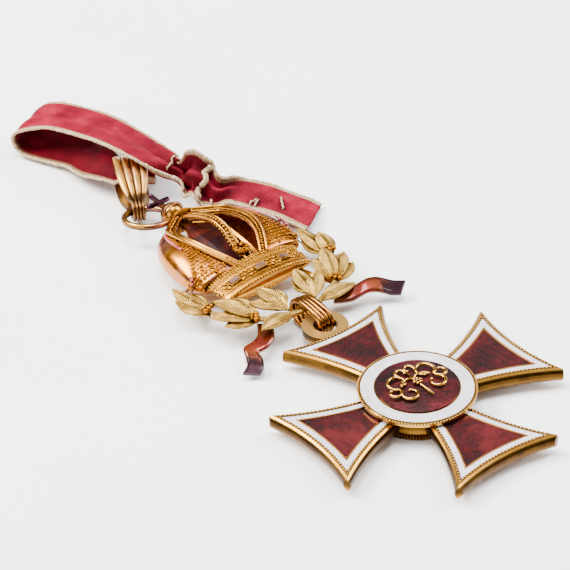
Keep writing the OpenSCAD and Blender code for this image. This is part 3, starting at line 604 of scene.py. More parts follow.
def rim_beading():
    """Row of fine beads rolled along the inner side of the gold rim of all four arms."""
    form = Form()
    for p in np.vstack(four_arms(RIM_W * 0.78, BEAD_PITCH, TOP_Z + 0.04)):
        form.bead(p, BEAD_D)
    return form


def flat_line(inset, width):
    """Flat line of metal that follows the outline of all four arms, drawn in from their edge."""
    form = Form()
    section = np.array([[-0.5, -0.5], [0.5, -0.5], [0.5, 0.5], [-0.5, 0.5]]) * [width, 0.05]
    for line in four_arms(inset, 0.8, TOP_Z):
        form.sweep(line, section, [0, 0, 1])
    return form


def medallion_beading():
    """Row of fine beads round the medallion's edge."""
    form = Form()
    radius, z = MEDAL_D / 2 - 0.12, MEDAL_Z + MEDAL_T * 0.78
    form.bead_ring(lambda x, y: [x, y, z], radius, int(2 * np.pi * radius / MILLING_PITCH), BEAD_D)
    return form


piece("rim_beading", rim_beading(), bead_gold)
piece("rim_groove", flat_line(RIM_W * 0.82, 0.52), groove_gold)
piece("cell_line", flat_line(RIM_W + WHITE_W + LINE_W / 2, 0.3), cell_gold)
piece("medallion_beading", medallion_beading(), bead_gold)


# Scrollwork on the red centre

# rows of a curl: x and y of its middle and its radius as shares of the centre's radius, its start and sweep
CURLS = [[0.4, 0.24, 0.27, -60, 300], [0.4, -0.26, 0.22, 60, -300], [0.68, -0.02, 0.17, 150, 280],
         [0.12, -0.02, 0.3, 20, 110], [0.12, 0.48, 0.14, -30, 240]]
CENTRE_R = MEDAL_D / 2 - MEDAL_RIM - RING_W - LINE_W
SCROLL_Z = MEDAL_Z + MEDAL_T + CENTRE_LIFT + CENTRE_RISE + SCROLL_WIRE / 2 + SEAT
CURL_D, DROP_D = 0.6, 0.8


def scrollwork():
    """Two mirrored sets of curls of wire on a straight stem, with a flower of seven drops over its middle."""
    form = Form()
    for s in (-1, 1):
        for x, y, r, start, sweep in CURLS:
            k = np.linspace(0, 1, 26)
            a = np.radians(start + sweep * k)
            reach = r * (1 - 0.35 * k)
            path = np.stack([s * (x + reach * np.cos(a)), y + reach * np.sin(a),
                             0 * k + (0.013 * y + 0.004 * s)], axis=1) * CENTRE_R + [0, 0, SCROLL_Z]
            form.sweep(path, wire(CURL_D * (1.05 - 0.35 * k + 0.3 * np.sin(np.pi * k)), 8), [0, 0, 1])
            form.bead(path[-1], 0.78)
            form.bead(path[0], 0.62)
    form.bead_ring(lambda x, y: [x, y, SCROLL_Z + 0.22], 0.7, 6, DROP_D)
    form.bead([0, 0, SCROLL_Z + 0.3], DROP_D)
    form.sweep([[0, -CENTRE_R * 0.61, SCROLL_Z], [0, CENTRE_R * 0.41, SCROLL_Z]], wire(0.5, 8), [0, 0, 1])
    return form


piece("scrollwork_wires", scrollwork(), polished_gold, ["scrollwork"])


# Knot

KNOT_WIRE, KNOT_L, KNOT_H = 0.95, 10.8, 6.6
KNOT_Y = EYE_Y - KNOT_WIRE / 2 + KNOT_L / 2 - 0.5


def knot():
    """Four wires wound side by side through the eye and round the wreath's foot."""
    form = Form()
    q = turns(64)
    a, b = KNOT_L / 2 - KNOT_WIRE * 0.62, KNOT_H / 2 - KNOT_WIRE * 0.62
    c, s = np.cos(q), np.sin(q)
    mid_z = KNOT_H / 2 + 0.15
    for k in range(4):
        path = np.stack([KNOT_WIRE * (k - 1.5) * 0.97 + 0.1 * np.sin(q + k * 1.3),
                         KNOT_Y + a * np.sign(c) * np.abs(c) ** 0.85,
                         mid_z + b * np.sign(s) * np.abs(s) ** 0.85 + 0.06 * np.sin(2 * q + k)], axis=1)
        up = unit(np.stack([0 * q, (path[:, 1] - KNOT_Y) / a, (path[:, 2] - mid_z) / b], axis=1))
        form.sweep(path, wire(KNOT_WIRE * 1.06, 12), up, closed=True)
    return form


piece("wound_knot", knot(), knot_gold, ["knot"])


# Wreath


def to_top(points):
    """From the crown's own axis to the badge: turned a little about the wreath's foot."""
    return turned(points, TOP_TURN) + [0, FOOT_Y, 0]


class TopForm(Form):
    """A form drawn on the crown's own axis, where a side of -1 mirrors it."""

    def __init__(self):
        super().__init__()
        self.side = 1

    def sides(self):
        """Takes the two sides in turn."""
        for self.side in (1, -1):
            yield self.side

    def add(self, points, faces, uv=None):
        super().add(to_top(np.asarray(points, float) * [self.side, 1, 1]), faces, uv)


# rows of a leaf: length share, half width share, rib share
LEAF = smooth([[0, 0.12, 0.5], [0.12, 0.4, 0.8], [0.3, 0.86, 1], [0.5, 1, 1], [0.7, 0.84, 0.9],
               [0.88, 0.42, 0.6], [1, 0.03, 0.1]], 2)
# rows of the leaves on one branch: turn along the stem, side step, aim, length share, height of the base
# over the stem, lift of the tip; steps, heights and lifts are shares of the stem's thickness
LEAVES = [[11, 0, 16, 0.9, 0.03, 0.6], [13, -0.9, -36, 0.82, 0.06, 1.15], [14, -1.4, -68, 0.84, 0.0, 1.6],
          [15, -1.8, -90, 0.53, -0.02, 1.15], [37, -0.6, -42, 0.72, 0.02, 1.35],
          [37, -0.25, -24, 1.03, 0.15, 1.45], [38, 0.15, -1, 0.95, 0.0, 0.85],
          [38, 0.5, 15, 0.68, -0.08, 0.45], [74, 0.3, -15, 1.18, -0.71, 0.45],
          [73, 0.5, -2, 0.85, -0.45, 0.3], [76, 0, -27, 0.75, -0.71, 0.15]]
TIES, STEM_END = [39, 75], 78


def on_stem(a, out=0.0):
    """A point on a branch's stem, at a turn from the wreath's foot and a step out of the stem."""
    r, a = WREATH_R + out, np.radians(a)
    return np.array([r * np.sin(a), WREATH_R - r * np.cos(a), CROWN_Z])


def leaf(form, at, turn, length, width, curl, seed):
    """Laurel leaf, folded a little along its midrib, with a rolled edge and a raised rib."""
    across = np.array([-1, -0.82, -0.55, -0.25, -0.07, 0.07, 0.25, 0.55, 0.82, 1])
    lift = np.array([0.16, 0.1, -0.06, -0.1, 0.16, 0.16, -0.1, -0.06, 0.1, 0.16])
    under = across[::-3]
    rings, maps = [], []
    for share, half, rib in LEAF:
        z = curl * share * (1.6 - share) + 0.1 * np.sin(9 * share + seed)
        bend = 0.25 * np.sin(2.5 * share + seed)
        top = np.stack([width / 2 * half * across + bend, np.full(10, length * share),
                        z + 0.9 * lift * rib + 0.22], axis=1)
        low = np.stack([width / 2 * half * under * 0.98 + bend, np.full(4, length * share),
                        z - 0.3 * (1 - under ** 2) - 0.05], axis=1)
        rings.append(np.vstack([top, low]))
        maps.append([[width / 2 * half * a, length * share] for a in [*across, *under]])
    form.skin(turned(rings, turn) + at, uv=maps)


def wreath():
    """Two branches of chased leaves on tapering stems."""
    form = TopForm()
    for side in form.sides():
        path = np.array([on_stem(a) for a in np.linspace(-4, STEM_END, 30)])
        form.sweep(path, wire(np.linspace(STEM_D, 0.64 * STEM_D, 30)), [0, 0, 1])
        for k, (a, step, aim, share, rise, lift) in enumerate(LEAVES):
            leaf(form, on_stem(a, STEM_D * step) + [0, 0, STEM_D * rise], a - 90 - aim, LEAF_L * share,
                 LEAF_W, STEM_D * lift, k + 3 * side)
    return form


def wreath_ties():
    """Berries that tie the leaves, and the two bars between the wreath and the crown's band."""
    form = TopForm()
    for _ in form.sides():
        for a in TIES:
            for step in (-1, 0, 1):
                form.bead(on_stem(a, step * STEM_D * 0.75) + [0, 0, STEM_D * 0.55], STEM_D)
                form.bead(on_stem(a + 3, step * STEM_D * 0.5) + [0, 0, STEM_D * 0.6], STEM_D * 0.6)
        strut = [on_stem(TIES[0] - 2), [BAND_W * 0.36, BAND_Y - 0.25, CROWN_Z - 0.9]]
        form.sweep(strut, wire(STEM_D, 12), [0, 0, 1])
    return form


piece("laurel_wreath", wreath(), leaf_gold(), ["wreath"])
piece("wreath_ties", wreath_ties(), crown_gold)


# Lappets

# rows of a lappet's middle line: x, y and z in lappet widths from the wreath's foot, and turn of its width
LAPPET_LEFT = [[-2.7, 0.6, 0.95, -54], [-3.28, -0.3, 0.95, -52], [-3.96, -0.66, 0.88, -66],
               [-4.6, -0.66, 0.76, -62], [-4.85, -1.25, 0.64, -48], [-5.16, -1.8, 0.53, -48],
               [-5.68, -2.1, 0.42, -41]]
LAPPET_RIGHT = [[2.27, 0.33, 0.95, 42], [2.83, -0.04, 0.97, 45], [3.24, -0.2, 1, 52],
                [3.77, -0.2, 1.05, 54], [4.34, -0.17, 1.05, 53], [4.85, -0.33, 1, 50],
                [5.22, -0.66, 0.91, 48], [5.56, -1.03, 0.82, 43], [6.11, -1.37, 0.76, 34]]


def lappet(rows, lean):
    """Flat strip with softly rounded edges, following its middle line; lean is its width's slope."""
    mid = smooth(rows, 8)
    wide = heading(mid[:, 3], lean)
    path = [0, FOOT_Y, 0] + LAPPET_W * mid[:, :3]
    across = np.array([-1, -0.5, 0, 0.5, 1, 1, 0.5, 0, -0.5, -1]) * LAPPET_W / 2
    rise = np.array([0.8, 1, 1, 1, 0.8, -0.8, -1, -1, -1, -0.8]) * LAPPET_T / 2 * 0.8
    form = Form()
    form.skin(path[:, None] + wide[:, None] * across[:, None] + np.array([0, 0, 1.0]) * rise[:, None])
    return form


lappet_red = lappet_enamel()
piece("lappet_strip_left", lappet(LAPPET_LEFT, 0), lappet_red, ["lappet_left"])
piece("lappet_strip_right", lappet(LAPPET_RIGHT, 18), lappet_red, ["lappet_right"])


# Crown

# rows of the crown's body: length share, half width share, half depth share
BAND = [[0, 1, 0.3], [0.045, 1.02, 0.31], [0.16, 1.03, 0.34], [0.2, 1.06, 0.425], [0.23, 1.04, 0.38]]
# rows of a side half: length share, gap share of the width, outer width share, half depth share
HALF_ROWS = [[0.2, 0.2, 0.92, 0.36], [0.28, 0.31, 0.99, 0.52], [0.38, 0.42, 1.01, 0.64], [0.5, 0.48, 1, 0.66],
             [0.62, 0.49, 0.95, 0.57], [0.73, 0.47, 0.85, 0.42], [0.81, 0.42, 0.7, 0.3],
             [0.87, 0.26, 0.48, 0.25], [0.93, 0.07, 0.26, 0.24]]
# rows of the high arch: length share, height share
ARCH = [[0.21, 0.38], [0.29, 0.42], [0.36, 0.52], [0.41, 0.68], [0.46, 0.88], [0.53, 1], [0.61, 0.99],
        [0.71, 0.83], [0.82, 0.55], [0.9, 0.3], [0.97, 0.12]]
# section of a corded strip in shares of its width: a low middle with a round cord along each edge
CORDED = np.array([[-0.5, -0.3], [-0.5, 0.12], [-0.45, 0.27], [-0.36, 0.32], [-0.27, 0.27], [-0.22, 0.12],
                   [-0.08, 0.06], [0.08, 0.06], [0.22, 0.12], [0.27, 0.27], [0.36, 0.32], [0.45, 0.27],
                   [0.5, 0.12], [0.5, -0.3]])


def on_crown(x, share, z):
    """A point by its x, its share of the crown's length and its height over the crown's axis."""
    return np.stack(np.broadcast_arrays(x, BAND_Y + CROWN_L * share, CROWN_Z + z), axis=-1)


def deep(s):
    """The crown's depth on the front, or on the back where s isn't above 0."""
    return np.where(np.asarray(s) > 0, CROWN_FRONT, CROWN_BACK)


def lens(a, b, q):
    """The band's plan, half widths a and b times the crown's depth, at a turn."""
    s = np.sin(q)
    return np.stack([a * np.cos(q), b * deep(s) * s * (0.62 + 0.38 * np.abs(s))], axis=-1)


def band_point(q, share, out=0.0):
    """A point on the band's outer face, at a turn round it and a share of the crown's length."""
    rows = np.array(BAND)
    wide = np.interp(share, rows[:, 0], rows[:, 1])
    thick = np.interp(share, rows[:, 0], rows[:, 2])
    p = lens(BAND_W / 2 * wide + out, thick + out / 5, np.asarray(q, float))
    return on_crown(p[..., 0], share, p[..., 1])


# rows of the band's section: length share and step out of the band's face, up its outside and down its inside
BAND_SECTION = [[0, -0.1], [0.006, 0.12], [0.03, 0.16], [0.045, -0.02], [0.09, -0.05], [0.13, -0.05],
                [0.16, 0], [0.18, 0.2], [0.2, 0.2], [0.22, 0.05], [0.23, -0.1], [0.23, -SHELL_T],
                [0.12, -SHELL_T], [0, -SHELL_T]]


def band():
    """The moulded band, open above and below."""
    form = TopForm()
    form.skin(np.stack([band_point(turns(90), *row) for row in BAND_SECTION], axis=1), closed=True)
    return form


def even_turns(share, pitch, out=0.0):
    """Turns round the band that lie evenly along its face."""
    q = np.linspace(0, 2 * np.pi, 721)
    p = band_point(q, share, out)
    run = run_of(p)
    n = int(run[-1] / pitch)
    return np.interp(np.arange(n) * run[-1] / n, run, q)


def band_face(q, share, out=0.0):
    """A point on the band with the directions along the band, up it and out of it."""
    p = band_point(q, share, out)
    side = unit(band_point(q + 0.02, share, out) - band_point(q - 0.02, share, out))
    rise = np.array([0, 1.0, 0])
    return p, side, rise, np.cross(side, rise) * -1


PLAQUE_TURNS = np.radians([128, 90, 56])


def curl(form, at, side, rise, size, turn):
    """Small curl of wire lying on a face, its two directions given."""
    k = np.linspace(0, 1, 9)
    a = turn + 6.6 * k
    r = size * (1 - 0.72 * k)
    path = at + side * (r * np.cos(a))[:, None] + rise * (r * np.sin(a))[:, None]
    form.sweep(path, wire(0.3, 5), np.cross(side, rise))


def oblong(wide, high, pitch):
    """Points spaced evenly round an oblong."""
    corners = np.array([[-1, -1], [1, -1], [1, 1], [-1, 1], [-1, -1]]) / 2 * [wide, high]
    run = run_of(corners)
    return points_at(corners, run, np.arange(0, run[-1], pitch))


# rows of a beaded line round the band: length share, step out of the face, bead size
BAND_LINES = [[0.05, 0, 0.36], [0.155, 0, 0.4], [0.164, 0.08, 0.5], [0.173, 0.16, 0.5], [0.182, 0.24, 0.44],
              [0.207, 0, 0.5], [0.224, 0, 0.5]]
# length shares of the three rows of curls between the borders, and of the plaques' middle
CURL_ROWS = [0.075, 0.103, 0.131]
PLAQUE_ROW = CURL_ROWS[1]


def band_grains():
    """Beaded borders of the band, and the curls and granules soldered on it between the plaques."""
    form = TopForm()
    for q in even_turns(0.004, 0.76, 0.1):
        form.bead(band_point(q, 0.004, 0.12), 0.72)
    for q in even_turns(0.19, 0.62, 0.2):
        form.bead(band_point(q, 0.19, 0.26), 0.6)
    for share, out, size in BAND_LINES:
        for q in even_turns(share, size + 0.12):
            form.bead(band_point(q, share, out), size)
    for k, share in enumerate(CURL_ROWS):
        for n, q in enumerate(even_turns(share, 0.92) + 0.02 * k):
            if np.min(np.abs(PLAQUE_TURNS - q)) < 0.13:
                continue
            p, side, rise, out = band_face(q, share)
            if (n + k) % 2:
                curl(form, p + 0.08 * out, side, rise, 0.42, rng.uniform(0, 6))
            form.bead(p, 0.5 + 0.1 * ((n + k) % 2))
            form.bead(p + 0.46 * side + 0.2 * rise, 0.32)
    for turn in PLAQUE_TURNS:
        p, side, rise, _ = band_face(turn, PLAQUE_ROW, 0.16)
        for x, y in oblong(STRIP_W * 1.25, STRIP_W * 0.72, 0.4):
            form.bead(p + x * side + y * rise, 0.38)
    return form


def half_point(row, q, t=0.0):
    """A point on a side half, at a turn from its back over its side to its front; t goes into the metal."""
    gap = DOME_W / 2 * row[1]
    reach = DOME_W / 2 * row[2] - gap
    depth = deep(np.sin(q)) * row[3]
    return on_crown(gap + (reach - t) * np.maximum(np.cos(q), 0) ** 0.8, row[0],
                    (depth - t) * np.sign(np.sin(q)) * np.abs(np.sin(q)) ** 0.75)


def halves():
    """The two domed side halves, open towards the gap between them."""
    form = TopForm()
    q = np.radians(np.linspace(-90, 90, 41))
    for _ in form.sides():
        form.skin([np.vstack([half_point(row, q), half_point(row, q[::-1], SHELL_T)])
                   for row in smooth(HALF_ROWS, 4)])
    return form


def strips():
    """Corded strips that edge the gap of each half, with granules between their cords."""
    form = TopForm()
    rows = smooth(HALF_ROWS, 5)
    for _ in form.sides():
        for face in (1, -1):
            path = np.array([half_point(r, np.float64(np.pi / 2 * face)) for r in rows]) \
                + [STRIP_W * 0.35, 0, face * 0.1]
            lean = unit([-0.35, 0, face])
            form.sweep(path, STRIP_W * CORDED, lean)
            for p in evenly(path, 0.62):
                form.bead(p + STRIP_W * 0.12 * lean, 0.56)
    return form


# rows of the granulated panel on a half: length share, where it ends round the half, in degrees from the side
PANEL = np.array([[0.2, 8], [0.26, 20], [0.33, 44], [0.4, 60], [0.5, 70], [0.88, 72]])


def panel_end(share):
    """The turn round a half where the granulated panel ends, at a share of the crown's length."""
    return np.radians(np.interp(share, PANEL[:, 0], PANEL[:, 1]))


def half_face(row, q):
    """A point on a half with the directions round the half and up it."""
    p = half_point(row, q)
    side = unit(half_point(row, q + 0.03) - half_point(row, q - 0.03))
    return p, side, np.array([0, 1.0, 0])


def half_grains():
    """Curls and granules that cover the front panel of each half, and its beaded border."""
    form = TopForm()
    rows = smooth(HALF_ROWS, 6)
    height = rows[:, :1] * [CROWN_L, 0, 0]
    rows = evenly(np.hstack([height, rows]), 0.78)[1:-4, 3:]
    for _ in form.sides():
        for row in rows:
            last = panel_end(row[0])
            q = np.linspace(np.radians(82), last, 40)
            line = evenly(np.hstack([half_point(row, q), q[:, None]]), 0.82)
            for k, q in enumerate(line[:, 3]):
                p, way, rise = half_face(row, q)
                out = unit(np.cross(rise, way))
                kind = rng.integers(0, 4)
                if kind == 0:
                    curl(form, p + 0.1 * out, way, rise, 0.44, rng.uniform(0, 6))
                form.bead(p, (0.5, 0.62, 0.5, 0.7)[kind])
                if kind > 1:
                    form.bead_ring(lambda x, y: p + way * x + rise * y, 0.4, 4, 0.32, k)
            form.bead(half_point(row, last), 0.7)
    return form


def ridge_lines():
    """Pink enamel line along the outer edge of each half's granulated panel."""
    form = TopForm()
    for _ in form.sides():
        edge = np.array([half_point(r, panel_end(r[0]) - np.radians(4), -0.1)
                         for r in smooth(HALF_ROWS, 6) if 0.5 < r[0] < 0.86])
        form.sweep(edge, wire(0.62, 8), [0, 0, 1])
    return form


def arches():
    """The high arch: corded edges and a row of granules, over the front and, plainer, over the back."""
    form = TopForm()
    rows = smooth(ARCH, 5)
    heart = on_crown(0, 0.6, 0)
    for face in (1, -1):
        path = on_crown(0, rows[:, 0], face * (deep(face) - ARCH_W * 0.32) * rows[:, 1])
        form.sweep(path, ARCH_W * CORDED, unit(path - heart))
        for p in evenly(path, 0.8)[2:]:
            out = unit(p - heart)
            form.bead(p + ARCH_W * 0.17 * out, 0.66)
            if face > 0:
                for s in (-1, 1):
                    form.bead(p + ARCH_W * 0.06 * out + [s * 0.98, 0, 0], 0.5)
    return form


# rows of the finials: turn round the band, size as a share of a strip's width, length share, width share
FINIALS = [[90, 2.1, 0.3, 1.05], [33, 1.7, 0.25, 1.05], [147, 1.7, 0.25, 1.05], [16, 1.7, 0.27, 1.26],
           [164, 1.7, 0.27, 1.26], [60, 1.4, 0.25, 1.05], [120, 1.4, 0.25, 1.05]]


def on_finial(row):
    """Gives a finial's own directions: x along the band, y up it, z out of it, in finial sizes."""
    turn, size, share, wide = row
    p = lens(BAND_W / 2 * wide, 0.42, np.radians(turn))
    at = on_crown(p[0], share, p[1])
    tilt = np.radians((90 - turn) * 0.75)
    return lambda x, y, z: at + STRIP_W * size * np.array(
        [x * np.cos(tilt) + z * np.sin(tilt), y, z * np.cos(tilt) - x * np.sin(tilt)])


def rosette(form, row):
    """Round flower of eight drops about a boss, at the arch's foot."""
    place, grow = on_finial(row), STRIP_W * row[1]
    form.skin([[place(r * np.cos(a), r * np.sin(a), z) for a in turns(24)]
               for r, z in ((0.3, 0.12), (0.4, 0.2), (0.36, 0.28), (0.1, 0.3))])
    form.bead(place(0, 0, 0.36), grow * 0.27)
    form.bead_ring(lambda x, y: place(x, y, 0.3), 0.27, 8, grow * 0.2)
    form.bead_ring(lambda x, y: place(x, y, 0.2), 0.41, 20, grow * 0.1)


def finials():
    """Leaf-shaped finials on the band: three lobes and two curls, each edged with granules, and the rosette
    at the arch's foot."""
    form = TopForm()
    rosette(form, FINIALS[0])
    for row in FINIALS[1:]:
        place, grow = on_finial(row), STRIP_W * row[1]
        for a in np.radians([-68, 0, 68]):
            way = np.array([np.sin(a), np.cos(a)])
            stalk = np.array([place(*(way * t), 0.12 + 0.1 * np.sin(3 * t)) for t in np.linspace(0, 0.62, 9)])
            width = grow * 0.4 * np.sin(np.pi * np.linspace(0.12, 0.96, 9)) ** 0.8
            form.sweep(stalk, wire(1) * np.stack([width, 0.3 * width + 0.12], axis=1)[:, None], [0, 0, 1])
            for t in (0.32, 0.48, 0.62):
                form.bead(place(*(way * t), 0.26), grow * (0.17 - 0.08 * t))
            form.bead(place(*(way * 0.66), 0.16), grow * 0.19)
        form.bead(place(0, 0.02, 0.26), grow * 0.34)
        form.bead_ring(lambda x, y: place(x, 0.02 + y, 0.24), 0.22, 8, grow * 0.13)
        for s in (-1, 1):
            line = [place(s * (0.12 + 0.36 * t + 0.16 * np.sin(3 * t)), -0.16 + 0.24 * np.sin(5 * t) * t,
                          0.12) for t in np.linspace(0, 1, 10)]
            form.sweep(line, wire(0.36, 6), [0, 0, 1])
    return form


# the red glass drops on each side: a row of the smoothed half, and a turn round it
GEMS = {1: [[14, 32], [13, 20], [11, 26]], -1: [[5, 12], [6, 22]]}


def gems():
    """Red glass drops set beside the outer finials."""
    form = TopForm()
    rows = smooth(HALF_ROWS, 6)
    for side in form.sides():
        for row, turn in GEMS[side]:
            form.bead(half_point(rows[row], np.radians(turn), -0.25), 1.0)
    return form


def collar():
    """Moulded collar that carries the orb."""
    form = TopForm()
    q = turns(32)
    top = CROWN_L * 0.06 - ORB_D * 0.12 - SEAT
    form.skin([on_crown(r * np.cos(q), 0.94, r * np.sin(q)) + [0, y, 0] for r, y in (
        (2.95, 0), (2.99, 0.2), (2.5, 0.45), (2.3, 0.7 * top), (2.4, 0.85 * top), (1.85, top))])
    return form


piece("crown_band", band(), band_gold)
piece("crown_band_granules", band_grains(), band_gold)
piece("crown_side_halves", halves(), dome_gold, ["crown"])
piece("crown_strips", strips(), strip_gold)
piece("crown_half_granules", half_grains(), crown_gold)
piece("crown_ridge_lines", ridge_lines(), pink_enamel)
piece("crown_arches", arches(), strip_gold)
piece("crown_finials", finials(), crown_gold)
piece("crown_gems", gems(), ruby_glass)
piece("crown_collar", collar(), crown_gold)
paint(cap_enamel(), "crown_cap")
paint(plaque_enamel, "plaque_left", "plaque_middle", "plaque_right")


# Hanger

paint(orb_gold(), "orb")
paint(ring_gold, "suspension_ring")
CLASP_L, CLASP_W, CLASP_T, CLASP_TURN, CLASP_LEAN = 18.5, 7.0, 0.8, 63.0, 3.0
# rows of the clasp's outline: share of its length, sideways share, width share
CLASP = [[-0.104, 0, 0.4], [-0.078, 0.083, 0.4], [0, 0.109, 0.42], [0.07, 0.098, 0.52],
         [0.15, 0.095, 0.64], [0.26, 0.125, 0.8], [0.42, 0.158, 0.94], [0.6, 0.165, 1], [0.8, 0.145, 1],
         [0.94, 0.085, 1], [1, 0, 1]]


def clasp():
    """Drop-shaped loop of sheet gold rolled with four round reeds."""
    ahead = heading(CLASP_TURN, CLASP_LEAN)
    hole = heading(CLASP_TURN - 90, 0)
    side = np.cross(hole, ahead)
    rows = np.array(CLASP)
    loop = smooth(np.vstack([rows, (rows * [1, -1, 1])[-2:0:-1], rows[:1]]), 5)[:-1]
    path = CLASP_AT + CLASP_L * (loop[:, :1] * ahead + loop[:, 1:2] * side)
    up = unit(np.cross(hole, np.roll(path, -1, axis=0) - np.roll(path, 1, axis=0)))
    reeds = [[0.5 - (k + 0.5) / 4 + 0.5 / 4 * np.cos(a), -0.14 + 0.66 * np.sin(a)]
             for k in range(4) for a in np.radians([168, 135, 90, 45, 12])]
    section = np.array(reeds + [[-0.49, -0.35], [-0.2, -0.4], [0.2, -0.4], [0.49, -0.35]])
    form = Form()
    form.sweep(path, np.array([section * [CLASP_W * w, CLASP_T] for w in loop[:, 2]]), up, closed=True)
    return form


piece("reeded_clasp", clasp(), clasp_gold, ["ribbon_clasp"])


# Ribbon

LOOP_L, STEPS, PLEATS = 44.0, 12, 2
# rows of the middle line from the tail's end round the loop to the gathered end: x, y and height as shares
# of the loop's length from the clasp's ring end, turn and lean of the width, share of the full width
RIBBON = [
    [0.644, -0.557, 0.044, 39, -9, 1], [0.612, -0.42, 0.047, 39, -9, 1], [0.55, -0.29, 0.062, 40, -9, 1],
    [0.448, -0.186, 0.084, 41, -6, 0.95], [0.35, -0.168, 0.098, 40, 12, 0.66],
    [0.333, -0.103, 0.122, 36, 26, 0.76], [0.308, -0.082, 0.158, 40, 29, 0.8],
    [0.291, -0.046, 0.182, 51, 33, 0.8], [0.292, -0.008, 0.142, 58, 33, 0.7],
    [0.297, 0.027, 0.12, 57, 31, 0.55], [0.289, 0.068, 0.138, 43, 25, 0.38],
    [0.264, 0.111, 0.152, 22, 10, 0.42], [0.252, 0.195, 0.164, 8, -18, 0.88],
    [0.225, 0.427, 0.17, 10, -14, 1], [0.186, 0.657, 0.164, 14, -9, 1], [0.098, 0.845, 0.159, 22, -4, 1],
    [-0.002, 0.945, 0.141, 27, 0, 1], [-0.032, 0.966, 0.084, 29, 0, 1], [-0.007, 0.927, 0.03, 26, 0, 1],
    [0.036, 0.811, 0.026, 20, 2, 1], [0.1, 0.657, 0.044, 18, 5, 1], [0.096, 0.561, 0.066, 25, 8, 1],
    [0.09, 0.48, 0.092, 39, 8, 1], [0.098, 0.37, 0.104, 60, 5, 1],
    [0.113, 0.284, 0.093, 66, 3, 0.4], [0.175, 0.239, 0.095, 66, 2, 0.4], [0.23, 0.193, 0.089, 62, 0, 0.4]]


def pleated(share):
    """Height of the pleats that takes up the ribbon's full width in a share of it, for unit width."""
    if share > 0.97:
        return 0.012
    t = np.linspace(0, 1, 201)
    low, high = 0.0, 1.0
    for _ in range(24):
        mid = (low + high) / 2
        z = mid * np.sin(2 * np.pi * PLEATS * t)
        run = np.hypot(np.diff(t) * share, np.diff(z)).sum()
        low, high = (mid, high) if run < 1 else (low, mid)
    return low


def ribbon_cloth():
    """Points of the cloth's middle, rows along it by points across it, with its normals and its map."""
    rows = smooth(RIBBON, STEPS)
    path = [CLASP_AT[0], CLASP_AT[1], 0] + LOOP_L * rows[:, :3]
    wide = heading(rows[:, 3], rows[:, 4])
    rise = unit(np.cross(wide, ahead_of(path)))
    t = np.linspace(-1, 1, 41)
    share = np.clip(rows[:, 5:], 0.36, 1)
    fold = np.array([pleated(s) for s in share[:, 0]])[:, None]
    k = np.arange(len(rows))[:, None]
    limit = np.clip(path[:, 2:] - 0.4, 0.1, 1)
    lift = limit * fold * RIBBON_W * np.sin(np.pi * PLEATS * (t + 1) + 0.02 * k)
    lift = lift + 0.14 * np.sin(0.31 * k) * t ** 3 + 0.1 * np.sin(0.17 * k + 1)
    points = path[:, None] + wide[:, None] * (share * RIBBON_W / 2 * t)[..., None] \
        + rise[:, None] * lift[..., None]
    normals = unit(np.cross(np.gradient(points, axis=1), np.gradient(points, axis=0)))
    uv = np.stack(np.broadcast_arrays(t * RIBBON_W / 2, run_of(path)[:, None]), axis=-1)
    points[..., 2] = np.maximum(points[..., 2], 0.35)
    return points, normals, uv


cloth, cloth_normal, cloth_map = ribbon_cloth()


def ribbon():
    """The cloth with its thickness: a face on each side, closed round its edges."""
    n, m = cloth.shape[:2]
    top, low = cloth + cloth_normal * RIBBON_T / 2, cloth - cloth_normal * RIBBON_T / 2
    faces = []
    for i in range(n - 1):
        for j in range(m - 1):
            a = i * m + j
            faces.append((a, a + 1, a + m + 1, a + m))
            b = n * m + a
            faces.append((b, b + m, b + m + 1, b + 1))
        for j in (0, m - 1):
            a = i * m + j
            faces.append((a, a + m, n * m + a + m, n * m + a))
    for j in range(m - 1):
        for i in (0, n - 1):
            a = i * m + j
            faces.append((a, a + 1, n * m + a + 1, n * m + a))
    form = Form()
    form.add(np.vstack([top.reshape(-1, 3), low.reshape(-1, 3)]), faces,
             np.vstack([cloth_map.reshape(-1, 2)] * 2))
    return form


def edge_cord(form, line, up, size=0.74):
    """Cream selvedge cord with small irregular loops along a line, its rise given at each point."""
    mixed = evenly(np.hstack([line, up]), 0.32)
    line, up = mixed[:, :3], unit(mixed[:, 3:])
    line = line + rng.normal(0, 0.045, line.shape)
    line[:, 2] = np.maximum(line[:, 2], 0.4)
    form.sweep(line, wire(rng.normal(size, 0.08, len(line)), 6) * [1.15, 0.9], up)


def on_cloth(row, across):
    """The point and the normal of the cloth at a row of the ribbon's table and a share of its half width."""
    i, j = int(row * STEPS), int((across + 1) * 20)
    return cloth[i, j], cloth_normal[i, j]


# rows of the selvedge that the standing fold turns up over the tail: row of the ribbon, share of half width
TURNED_UP = smooth([[5.4, 0.95], [5.5, 0.6], [5.72, 0.28], [5.78, -0.05], [5.85, -0.35], [6.1, -0.7],
                    [6.1, -0.95]], 8)


def edging():
    """Cream corded selvedge along both edges, and where the standing fold turns it up."""
    form = Form()
    for j, inner in ((0, 1), (-1, -2)):
        edge_cord(form, cloth[:, j] + 0.06 * unit(cloth[:, j] - cloth[:, inner]), cloth_normal[:, j])
    fold = [on_cloth(row, across) for row, across in TURNED_UP]
    rise = np.array([n * np.sign(n[2]) for _, n in fold])
    edge_cord(form, np.array([p for p, _ in fold]) + 0.5 * rise, rise, 1.25)
    return form


# rows of a loose stitch: row and share of the half width where it starts, and where it ends
STITCHES = [[4.45, -0.45, 4.15, -0.97], [2.38, -0.97, 2.26, -0.3], [2.24, -0.32, 2.18, -0.95],
            [1.58, 0.25, 1.25, -0.5], [11.0, 0.95, 10.8, 0.5], [10.85, 0.1, 10.95, -0.35],
            [10.4, 0.75, 10.3, 0.3], [10.6, -0.3, 10.5, -0.75]]


